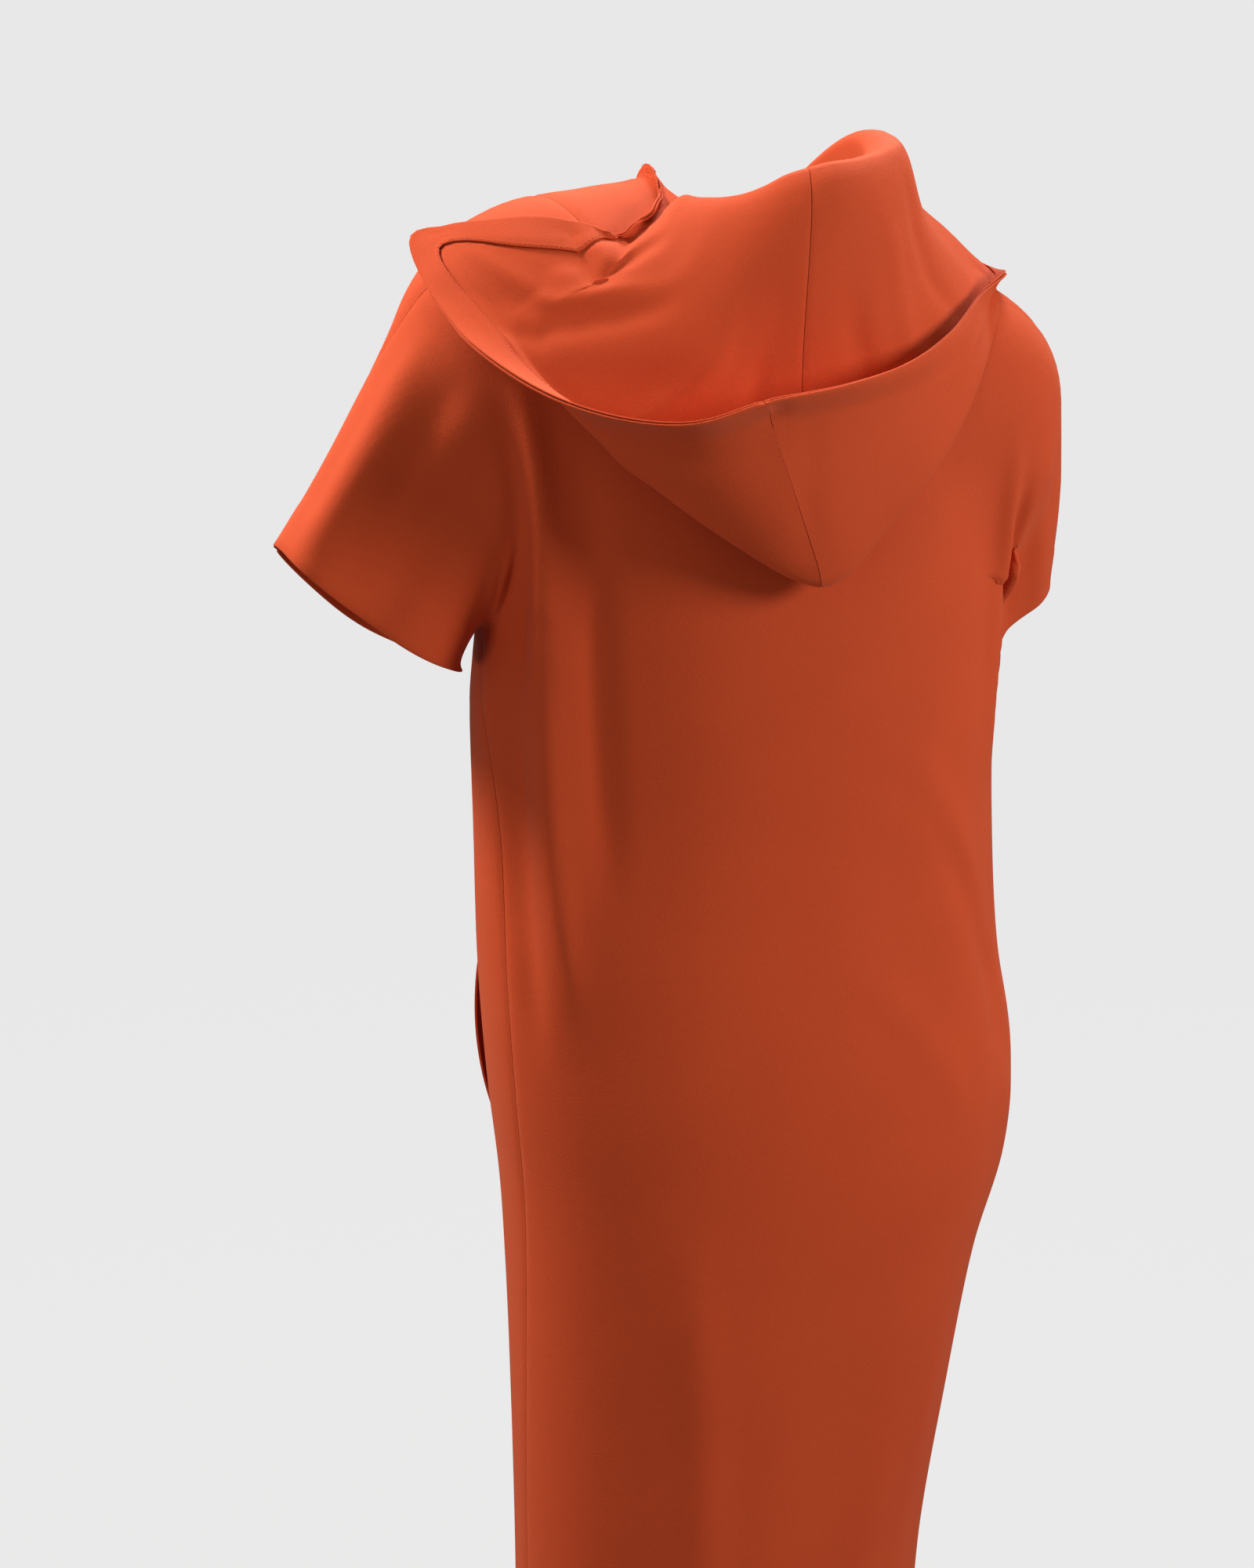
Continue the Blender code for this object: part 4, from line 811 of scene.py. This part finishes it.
def fine_columns():
    """Columns of a panel from right to left, closer together beside the seams."""
    near = np.array([0.006, 0.014, 0.026])
    half = np.concatenate([np.linspace(0, PRINCESS_C, FINE_INNER), np.linspace(PRINCESS_C, 1, FINE_OUTER),
                           PRINCESS_C - near, PRINCESS_C + near, 1 - near])
    half = np.sort(half)
    half = half[np.concatenate([[True], np.diff(half) > 0.0025])]
    half[np.argmin(np.abs(half - PRINCESS_C))] = PRINCESS_C
    half[0], half[-1] = 0.0, 1.0
    return np.concatenate([-half[::-1], half[1:]])


def fine_rows():
    edges = [UNDERARM_Z] + list(LOWER_ROWS)
    out = []
    for a, b in zip(edges[:-1], edges[1:]):
        n = max(1, int(round(abs(b - a) / FINE_ROW)))
        out += list(a + (b - a) * (np.arange(n) + 1) / n)
    return out


def fine_dress():
    us, rows, s = fine_columns(), fine_rows(), Sheet()
    for behind in (True, False):
        g, weight = body_grid(behind, us, FINE_UPPER, rows)
        pts, q = quads_of(g, form_slope)
        mid = (us[:-1] + us[1:]) / 2
        if behind:
            label = ["back"] * len(q)
        else:
            names = np.where(mid > PRINCESS_C, "front_side_left", np.where(mid < -PRINCESS_C, "front_side_right", "front"))
            label = list(np.repeat(names, g.shape[1] - 1))
        s.add(pts, q, label, weight)
        for side in ("left", "right"):
            a, weight = arm_grid(side, behind, FINE_UPPER, FINE_ARM)
            pts, q = quads_of(a, form_slope)
            s.add(pts, q, "back" if behind else "front_side_" + side, weight)
    return s.weld()


def even(p, f, weight, rounds):
    """Evens a surface where weight is above zero."""
    a = np.concatenate([f[:, k] for k in range(4)] + [f[:, (k + 1) % 4] for k in range(4)])
    b = np.concatenate([f[:, (k + 1) % 4] for k in range(4)] + [f[:, k] for k in range(4)])
    n = np.maximum(np.bincount(a, minlength=len(p)), 1)[:, None]
    for _ in range(rounds):
        mean = np.stack([np.bincount(a, weights=p[b, k], minlength=len(p)) for k in range(3)], 1) / n
        p = p + (mean - p) * (0.5 * weight)[:, None]
    return p


def rim_distance(p, points):
    tree = KDTree(len(points))
    for i, v in enumerate(points):
        tree.insert(v, i)
    tree.balance()
    return np.array([tree.find(v)[2] for v in p])


def wide_under_arm(p):
    """One round each underarm, falling off further out than on the solids."""
    out = np.zeros(len(p))
    for row, reach in zip(SLEEVES, UNDER_REACH):
        corner = arm_ring(row, np.array([180.0]), 0)[0]
        out = np.maximum(out, 1.3 * np.exp(-((np.linalg.norm(p - corner, axis=1) / reach) ** 2)))
    return out


def fine_finish(p, f, labels, weight):
    """Evens the joins, raises folds and creases, then presses the seams and thickens the hems."""
    near = weight[:, 0].copy()
    free = rim_edges(f)
    for a, b in free:
        near[[a, b]] = 0
    held = near > 0.02
    under = np.minimum(1, wide_under_arm(p))
    for a, b in free:
        under[[a, b]] = 0
    p = even(p, f, under, 260)
    held &= under < 0.02
    for _ in range(3):
        p = even(p, f, near, 40)
        p[held] = settle(p[held], steps=4)
    p = even(p, f, under, 60)
    p = even(p, f, near, 24)
    n = vertex_normals(p, f)
    p = p + n * ((fold_height(p) + crease_lift(p) * ease((-0.035 - p[:, 2]) / 0.05)) * weight[:, 1])[:, None]
    p = even(p, f, np.full(len(p), 0.5) * (rim_free(p, f) > 0), 2)
    n = vertex_normals(p, f)
    seams = set()
    for name in ("back", "front", "front_side_left", "front_side_right"):
        mine, other = f[labels == name], f[labels != name]
        seams |= set(np.intersect1d(np.unique(mine), np.unique(other)).tolist())
    seam = p[sorted(seams)]
    dip = -SEAM_DIP * np.exp(-(rim_distance(p, seam) / SEAM_HALF) ** 2)
    low = np.array([p[a] for a, _ in free])
    hem = low[(low[:, 2] < -0.12)]
    away = rim_distance(p, hem)
    lift = HEM_LIFT * (1 - ease((away - HEM_DEPTH + 0.003) / 0.005))
    return p + n * (dip + lift)[:, None], n


def rim_free(p, f):
    inside = np.ones(len(p))
    for a, b in rim_edges(f):
        inside[[a, b]] = 0
    return inside


def mesh_object(name, points, faces, material):
    mesh = bpy.data.meshes.new(name)
    mesh.from_pydata([tuple(v) for v in points], [], [tuple(int(k) for k in r) for r in faces])
    mesh.validate()
    mesh.shade_smooth()
    mesh.set_sharp_from_angle(angle=math.radians(70))
    o = bpy.data.objects.new(name, mesh)
    bpy.context.scene.collection.objects.link(o)
    mesh.materials.append(material)
    return o


def edge_out(p, f, n):
    """For every point of a free edge, the direction out of the sheet."""
    out = np.zeros_like(p)
    for a, b in rim_edges(f):
        side = np.cross(p[b] - p[a], n[a] + n[b])
        side = side / max(np.linalg.norm(side), 1e-12)
        out[a] += side
        out[b] += side
    size = np.linalg.norm(out, axis=1, keepdims=True)
    return np.where(size > 1e-9, out / np.maximum(size, 1e-9), 0)


def shell(name, p, f, n, depth, material, pull=None, joined=None):
    """A closed thin sheet, with free edges rounded and seam edges plain."""
    used = np.unique(f)
    back = -np.ones(len(p), int)
    back[used] = np.arange(len(used))
    q, g, m = p[used].copy(), back[f], n[used]
    if pull is not None:
        q = q + pull[used]
    out = edge_out(q, g, m)
    soft = np.ones(len(q)) if joined is None else 1.0 - joined[used]
    rim = rim_edges(g)
    ring = sorted({int(k) for e in rim for k in e})
    place = {k: i for i, k in enumerate(ring)}
    count, r = len(q), len(ring)
    mid_a = q[ring] - m[ring] * depth * 0.25 + out[ring] * (depth * CLOTH_ROUND * 0.8 * soft[ring])[:, None]
    mid_b = q[ring] - m[ring] * depth * 0.75 + out[ring] * (depth * CLOTH_ROUND * 0.8 * soft[ring])[:, None]
    points = np.concatenate([q, q - m * depth, mid_a, mid_b])
    faces = [tuple(x) for x in g] + [tuple(x[::-1] + count) for x in g]
    for a, b in rim:
        a, b = int(a), int(b)
        ra, rb = 2 * count + place[a], 2 * count + place[b]
        faces.append((b, a, ra, rb))
        faces.append((rb, ra, ra + r, rb + r))
        faces.append((rb + r, ra + r, a + count, b + count))
    return mesh_object(name, points, faces, material)


def area_of(p, f):
    return float(np.linalg.norm(face_normals(p, f), axis=1).sum() / 2)


# ---------------------------------------------------------------- materials
def node(tree, kind, **values):
    n = tree.nodes.new(kind)
    for k, v in values.items():
        setattr(n, k, v)
    return n


def crepe(name, colour, deep, rough, sheen, sheen_tint, grain):
    """A matt crepe: a fine pebbled grain over a close weave, with a little uneven dye."""
    mat = bpy.data.materials.new(name)
    mat.use_nodes = True
    t = mat.node_tree
    b = t.nodes["Principled BSDF"]
    b.inputs["Roughness"].default_value = rough
    b.inputs["Specular IOR Level"].default_value = 0.22
    b.inputs["Sheen Weight"].default_value = sheen
    b.inputs["Sheen Roughness"].default_value = 0.42
    b.inputs["Sheen Tint"].default_value = (*sheen_tint, 1)
    at = node(t, "ShaderNodeTexCoord")
    # uneven dye, in patches of some centimetres and of a few millimetres
    broad, small = node(t, "ShaderNodeTexNoise"), node(t, "ShaderNodeTexNoise")
    broad.inputs["Scale"].default_value, broad.inputs["Detail"].default_value = 14.0, 3.0
    small.inputs["Scale"].default_value, small.inputs["Detail"].default_value = 420.0, 3.0
    pebble = node(t, "ShaderNodeTexVoronoi")
    pebble.inputs["Scale"].default_value = 1150.0
    fine = node(t, "ShaderNodeTexNoise")
    fine.inputs["Scale"].default_value, fine.inputs["Detail"].default_value = 1500.0, 2.0
    warp, weft = node(t, "ShaderNodeTexWave", bands_direction="Z"), node(t, "ShaderNodeTexWave", bands_direction="X")
    for w in (warp, weft):
        w.inputs["Scale"].default_value = 430.0
        w.inputs["Distortion"].default_value = 1.6
        w.inputs["Detail"].default_value = 1.0
        w.inputs["Detail Scale"].default_value = 1.4
    for n in (broad, small, pebble, fine, warp, weft):
        t.links.new(at.outputs["Object"], n.inputs["Vector"])
    dye = node(t, "ShaderNodeMix", data_type="RGBA")
    dye.inputs["A"].default_value, dye.inputs["B"].default_value = (*deep, 1), (*colour, 1)
    mix = node(t, "ShaderNodeMath", operation="MULTIPLY_ADD")
    mix.inputs[1].default_value = 0.55
    t.links.new(broad.outputs["Fac"], mix.inputs[0])
    part = node(t, "ShaderNodeMath", operation="MULTIPLY_ADD")
    part.inputs[1].default_value, part.inputs[2].default_value = 0.45, 0.28
    t.links.new(small.outputs["Fac"], part.inputs[0])
    t.links.new(part.outputs[0], mix.inputs[2])
    t.links.new(mix.outputs[0], dye.inputs["Factor"])
    t.links.new(dye.outputs["Result"], b.inputs["Base Color"])
    weave = node(t, "ShaderNodeMath", operation="ADD")
    t.links.new(warp.outputs["Fac"], weave.inputs[0])
    t.links.new(weft.outputs["Fac"], weave.inputs[1])
    height = node(t, "ShaderNodeMath", operation="MULTIPLY_ADD")
    height.inputs[1].default_value = 0.14
    t.links.new(weave.outputs[0], height.inputs[0])
    t.links.new(pebble.outputs["Distance"], height.inputs[2])
    all_of = node(t, "ShaderNodeMath", operation="MULTIPLY_ADD")
    all_of.inputs[1].default_value = 0.8
    t.links.new(fine.outputs["Fac"], all_of.inputs[0])
    t.links.new(height.outputs[0], all_of.inputs[2])
    bump = node(t, "ShaderNodeBump")
    bump.inputs["Strength"].default_value = grain
    bump.inputs["Distance"].default_value = 0.00022
    t.links.new(all_of.outputs[0], bump.inputs["Height"])
    t.links.new(bump.outputs["Normal"], b.inputs["Normal"])
    return mat


# ---------------------------------------------------------------- pieces
def dress_pieces(cloth, inside):
    p, f, labels, weight = fine_dress()
    p, n = fine_finish(p, f, labels, weight)
    opened = {side: pocket_open(p, f, labels, side) for side in ("left", "right")}
    every = np.zeros(len(p))
    made = {}
    for name in ("back", "front", "front_side_left", "front_side_right"):
        mine, other = f[labels == name], f[labels != name]
        every[np.intersect1d(np.unique(mine), np.unique(other))] = 1
    for name in ("back", "front", "front_side_left", "front_side_right"):
        mine, pull = seam_pull(p, f, labels, name, SEAM_GAP / 2 + 0.00004)
        if name == "front":
            for shared, lens in opened.values():
                away = unit(pull[shared])
                pull[shared] += n[shared] * (POCKET_GAPE * lens)[:, None] + away * (POCKET_PART * lens)[:, None]
            pull = spread_pull(p, mine, pull, opened)
        o = shell(name + "_cloth", p, mine, n, CLOTH, cloth, pull, every)
        made[name] = (o, area_of(p, mine))
    for side in ("left", "right"):
        name = "front_side_" + side
        seam = np.intersect1d(np.unique(f[labels == "front"]), np.unique(f[labels == name]))
        seam = seam[(p[seam, 2] < POCKET_TOP + 0.030) & (p[seam, 2] > POCKET_END - 0.022)]
        near = rim_distance(p, p[seam]) < 0.024
        bag = f[((labels == "front") | (labels == name)) & near[f].all(1)]
        # the bag takes the darker, redder pocketing colour, which is painted shade inside the pocket mouth
        o = shell("pocket_" + side + "_bag", p - n * (CLOTH + 0.0022), bag, n, CASING_CLOTH, inside)
        made["pocket_" + side] = (o, area_of(p, bag))
    return made


def spread_pull(p, mine, pull, opened):
    """The lifted edge of the pocket mouth carries a little of the panel beside it with it."""
    used = np.unique(mine)
    out = pull.copy()
    for shared, lens in opened.values():
        edge = shared[lens > 0.05]
        if not len(edge):
            continue
        tree = KDTree(len(edge))
        for i, k in enumerate(edge):
            tree.insert(p[k], i)
        tree.balance()
        fixed = set(shared.tolist())
        for k in used:
            if int(k) in fixed:
                continue
            _, i, d = tree.find(p[k])
            if d < 0.045:
                out[k] += pull[edge[i]] * (1 - ease(d / 0.042))
    return out


def roll_rim(s, g):
    """The last of the way to the face edge bends outward and down in a soft roll."""
    step = np.linalg.norm(np.diff(g, axis=1), axis=2)
    left = step.sum(1)[:, None] - np.concatenate([np.zeros((len(g), 1)), np.cumsum(step, 1)], 1)
    wide, out, down = np.moveaxis(smooth_rows(RIM_ROLL, s), -1, 0)
    near = np.clip(1 - left / np.maximum(wide, 1e-6)[:, None], 0, 1)
    away = -grid_normals(g) * np.array([1.0, 1.0, 0.0])
    away = unit(away[:, -8:].mean(1))[:, None]
    return g + away * (out[:, None] * ease(near))[..., None] - LEVEL * (down[:, None] * near ** 2)[..., None]


def plain_band(s, t, g):
    """Beside the left of the neck the hood is a narrow band, plain from the neckline to its edge."""
    foot, rim = g[:, :1], g[:, -1:].copy()
    rim[..., 2] = np.minimum(rim[..., 2], foot[..., 2] + BAND_HIGH)
    straight = foot + (rim - foot) * t[..., None]
    share = ease((BAND_S - s) / BAND_FADE)[:, None, None]
    g = g + (straight - g) * share
    sunk = (ease((-0.54 - s) / 0.08) * ease((s + 0.99) / 0.07))[:, None, None]
    inward = unit((np.array([NECK_X, 0, 0]) - foot) * np.array([1.0, 1.0, 0.0]))
    return g + (inward * BAND_IN - LEVEL * BAND_DOWN) * sunk


def hood_pieces(cloth, casing_cloth, thread):
    s, t, g = hood_surface(FINE_HOOD_S, FINE_HOOD_T)
    g = plain_band(s, t, g)
    lift = np.zeros(g.shape[:2])
    flat = g.reshape(-1, 3)
    for s0, t0, s1, t1, half, height in HOOD_CREASES:
        k = np.linspace(0, 1, 14)
        line = []
        for q in k:
            i = int(np.argmin(np.abs(s - (s0 + (s1 - s0) * q))))
            tt = t0 + (t1 - t0) * q
            line.append([np.interp(tt, t[i], g[i, :, c]) for c in range(3)])
        lift += near_line(flat, np.array(line), half, height).reshape(lift.shape)
    g = roll_rim(s, g)
    flat = g.reshape(-1, 3)
    n = grid_normals(g)
    # the centre seam is pressed flat, with a small step where it meets the face edge
    seam = np.abs(s)[:, None]
    lift -= 0.0004 * np.exp(-((seam / 0.006) ** 2)) * ease(t / 0.05)
    # the soft roll along the face edge, and the dent of the casing's seam
    casing_at = np.array([np.interp(HOOD_STEPS * FINE_HOOD_T, np.arange(g.shape[1]), row) for row in t])[:, None]
    reach = (t - casing_at) * np.array([np.linalg.norm(np.diff(row, axis=0), axis=1).sum() for row in g])[:, None]
    lift -= 0.0007 * np.exp(-((reach / 0.0035) ** 2))
    g = g + n * lift[..., None]
    for _ in range(4):
        fv = form(g) - fold_height(g)
        need = (CLEAR + CLOTH - fv) * (fv < CLEAR + CLOTH) * ease(t / 0.06)
        g = g + unit(slope(form, g)) * need[..., None]
    pts, q = quads_of(g)
    m = vertex_normals(pts, q)
    if (m.reshape(g.shape) * grid_normals(g)).sum() < 0:
        q, m = q[:, ::-1], -m
    mid = np.repeat((s[:-1] + s[1:]) / 2, g.shape[1] - 1)
    labels = np.where(mid < 0, "hood_left", "hood_right")
    gap = SEAM_GAP / 2 + 0.00004
    every = np.zeros(len(pts))
    every[np.intersect1d(np.unique(q[labels == "hood_left"]), np.unique(q[labels == "hood_right"]))] = 1
    made = {}
    for name in ("hood_left", "hood_right"):
        mine, pull = seam_pull(pts, q, labels, name, gap)
        o = shell(name + "_cloth", pts, mine, m, CLOTH, cloth, pull, every)
        made[name] = (o, area_of(pts, mine))
    steps = HOOD_STEPS * FINE_HOOD_T
    last = np.tile(np.arange(g.shape[1] - 1), g.shape[0] - 1) >= steps
    up = m * (CASING_CLOTH + 0.0003 + 0.0002)
    shift = np.zeros_like(g)
    shift[:, -1] = -(g[:, -1] - g[:, -2]) * 0.25
    for side in ("left", "right"):
        mine, pull = seam_pull(pts, q, labels, "hood_" + side, gap * 1.5)
        strip = q[last & (labels == "hood_" + side)]
        o = shell("hood_casing_" + side + "_cloth", pts + up + shift.reshape(-1, 3), strip, m, CASING_CLOTH,
                  casing_cloth, pull, every)
        made["hood_casing_" + side] = (o, area_of(pts, strip))
    o = stitches(g, m.reshape(g.shape), steps, thread)
    return made, o


def stitches(g, n, steps, material):
    """A row of stitches a little inside the casing's lower edge."""
    line = np.array([g[i, steps] + unit((g[i, steps + 2] - g[i, steps])[None])[0] * STITCH_IN
                     + n[i, steps] * (CASING_CLOTH + 0.0005 + STITCH_RADIUS * 0.6) for i in range(len(g))])
    up = n[:, steps]
    d = np.concatenate([[0], np.cumsum(np.linalg.norm(np.diff(line, axis=0), axis=1))])
    count = int(d[-1] / STITCH_PITCH)
    pts, faces = [], []
    ring = np.linspace(0, 2 * np.pi, 7)[:-1]
    for i in range(count):
        c = (i + 0.5) * STITCH_PITCH
        marks = np.array([-0.5, -0.35, 0, 0.35, 0.5]) * STITCH_LENGTH + c
        sizes = np.array([0.25, 0.85, 1.0, 0.85, 0.25]) * STITCH_RADIUS
        centre = np.stack([np.interp(marks, d, line[:, k]) for k in range(3)], 1)
        normal = unit(np.array([np.interp(c, d, up[:, k]) for k in range(3)])[None])[0]
        along = unit((centre[-1] - centre[0])[None])[0]
        side = np.cross(along, normal)
        base = len(pts)
        for j, (x, r) in enumerate(zip(centre, sizes)):
            sink = -0.00025 if j in (0, 4) else 0.0
            pts += [tuple(x + normal * (sink + r * math.sin(a)) + side * r * math.cos(a)) for a in ring]
        for j in range(4):
            for k in range(6):
                a, b = base + j * 6 + k, base + j * 6 + (k + 1) % 6
                faces.append((a, b, b + 6, a + 6))
        faces.append(tuple(base + k for k in range(5, -1, -1)))
        faces.append(tuple(base + 24 + k for k in range(6)))
    return mesh_object("hood_casing_stitches", pts, faces, material)


# ---------------------------------------------------------------- stage
def paper(name, colour, glow):
    mat = bpy.data.materials.new(name)
    mat.use_nodes = True
    t = mat.node_tree
    b = t.nodes["Principled BSDF"]
    b.inputs["Base Color"].default_value = (*colour, 1)
    b.inputs["Roughness"].default_value = 0.95
    b.inputs["Specular IOR Level"].default_value = 0.0
    b.inputs["Emission Color"].default_value = (1.0, 1.0, 1.0, 1)
    b.inputs["Emission Strength"].default_value = glow
    return mat


def backdrop():
    """A plain pale floor that turns up into a round wall."""
    mat = paper("studio_paper", (0.02, 0.02, 0.02), BACKDROP_GLOW)
    profile = [(0.0, 0.0), (1.5, 0.0), (3.0, 0.0), (4.2, 0.0)]
    for k in range(1, 13):
        a = math.radians(90 * k / 12)
        profile.append((4.2 + 2.2 * math.sin(a), 2.2 * (1 - math.cos(a))))
    profile += [(6.4, 4.5), (6.4, 8.0)]
    turns, pts, faces = 72, [], []
    for r, z in profile[1:]:
        pts += [(r * math.cos(2 * math.pi * k / turns), r * math.sin(2 * math.pi * k / turns), z + FLOOR_Z)
                for k in range(turns)]
    pts.append((0.0, 0.0, FLOOR_Z))
    for i in range(len(profile) - 2):
        for k in range(turns):
            a, b = i * turns + k, i * turns + (k + 1) % turns
            faces.append((a, b, b + turns, a + turns))
    faces += [(len(pts) - 1, k, (k + 1) % turns) for k in range(turns)]
    o = mesh_object("studio_floor", pts, faces, mat)
    o.visible_diffuse = False
    o.visible_glossy = False


def area_light(name, at, target, size, power, colour=(1, 1, 1)):
    light = bpy.data.lights.new(name, "AREA")
    light.shape, light.size, light.energy, light.color = "DISK", size, power, colour
    o = bpy.data.objects.new(name, light)
    bpy.context.scene.collection.objects.link(o)
    o.location = at
    o.rotation_mode = "QUATERNION"
    o.rotation_quaternion = (Vector(target) - Vector(at)).to_track_quat("-Z", "Y")
    return o


def studio():
    for name, at, target, size, power, colour in LIGHTS:
        area_light(name, at, target, size, power, colour)
    world = bpy.data.worlds.new("studio")
    bpy.context.scene.world = world
    world.use_nodes = True
    back = world.node_tree.nodes["Background"]
    back.inputs["Color"].default_value = (*WORLD_COLOUR, 1)
    back.inputs["Strength"].default_value = WORLD_LIGHT
    backdrop()


def camera():
    """The photograph's view: from behind, a little to the left and above."""
    a, e = math.radians(160.0), math.radians(10.0)
    back = Vector((math.sin(a) * math.cos(e), -math.cos(a) * math.cos(e), math.sin(e)))
    right = Vector((math.cos(a), math.sin(a), 0.0))
    cam = bpy.data.objects.new("camera", bpy.data.cameras.new("camera"))
    bpy.context.scene.collection.objects.link(cam)
    cam.data.sensor_width, cam.data.lens = 36.0, 49.68
    cam.data.clip_start, cam.data.clip_end = 0.05, 60.0
    cam.location = Vector((0, 0, -0.38)) + right * -0.073 + back * 1.5
    cam.rotation_mode = "QUATERNION"
    cam.rotation_quaternion = (-back).to_track_quat("-Z", "Y")
    bpy.context.scene.camera = cam


FLOOR_Z = -1.32
BACKDROP_GLOW = 0.80
WORLD_COLOUR, WORLD_LIGHT = (1.0, 0.97, 0.94), 0.20
LIGHT_COLUMNS = ("name", "at", "target", "size", "power", "colour")
LIGHTS = [
    ("top", (-0.60, -0.75, 1.70), (-0.05, 0.0, -0.2), 0.8, 36.0, (1.0, 0.975, 0.94)),
    ("key", (-1.70, 1.50, 0.40), (-0.1, 0.0, -0.5), 0.8, 37.0, (1.0, 0.97, 0.93)),
    ("fill", (2.2, 1.0, -0.9), (0.1, 0.0, -0.7), 0.8, 10.0, (1.0, 0.96, 0.92)),
    ("back_top", (0.00, 0.80, 1.95), (0.0, 0.1, -0.1), 0.5, 4.0, (1.0, 0.96, 0.90)),
    ("front_top", (1.35, -0.55, 1.30), (0.12, 0.0, -0.1), 0.5, 54.0, (1.0, 0.90, 0.78)),
]
ORANGE, ORANGE_DEEP = (0.62, 0.074, 0.017), (0.50, 0.052, 0.012)

# the cut of each piece that shows: flat width and length of the rectangle that holds it, in metres
CUT_COLUMNS = ("node", "width", "length", "held", "slot")
CUTS = [
    ("back", 0.90, 1.24, "hung", "crepe"),
    ("front", 0.43, 1.24, "hung", "crepe"),
    ("front_side_left", 0.32, 1.22, "hung", "crepe"),
    ("front_side_right", 0.30, 1.22, "hung", "crepe"),
    ("pocket_left", 0.06, 0.18, "hung", "pocketing"),
    ("pocket_right", 0.06, 0.18, "hung", "pocketing"),
    ("hood_left", 0.69, 0.27, "draped", "crepe"),
    ("hood_right", 0.58, 0.30, "draped", "crepe"),
    ("hood_casing_left", 0.69, 0.030, "draped", "crepe_casing"),
    ("hood_casing_right", 0.58, 0.030, "draped", "crepe_casing"),
]


def main():
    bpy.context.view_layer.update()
    cloth = crepe("crepe", ORANGE, ORANGE_DEEP, 0.82, 0.18, (1.0, 0.55, 0.36), 0.55)
    casing = crepe("crepe_casing", ORANGE, ORANGE_DEEP, 0.82, 0.18, (1.0, 0.55, 0.36), 0.55)
    # the pocketing is darker and redder than the dress crepe: painted shade for the deep red inside the gaping pocket
    # mouth
    inside = crepe("pocketing", (0.50, 0.050, 0.020), (0.42, 0.040, 0.016), 0.85, 0.20, (1.0, 0.55, 0.45), 0.30)
    thread = crepe("thread", (0.60, 0.080, 0.030), (0.55, 0.070, 0.026), 0.70, 0.25, (1.0, 0.6, 0.5), 0.2)
    made = dress_pieces(cloth, inside)
    hood, sewn = hood_pieces(cloth, casing, thread)
    made.update(hood)
    total = 0
    for name, width, length, held, slot in CUTS:
        piece, area = made[name]
        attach(piece, "root")
        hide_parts(name)
        share = area / (width * length)
        print("sheet", name, "area %.4f of %.4f, share %.2f" % (area, width * length, share), len(piece.data.polygons) * 2)
        total += len(piece.data.polygons) * 2
    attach(sewn, "root")
    print("triangles about", total + len(sewn.data.polygons) * 2)
    studio()
    camera()
    view = bpy.context.scene.view_settings
    view.view_transform, view.look = "Standard", "None"
    bpy.context.view_layer.update()


main()
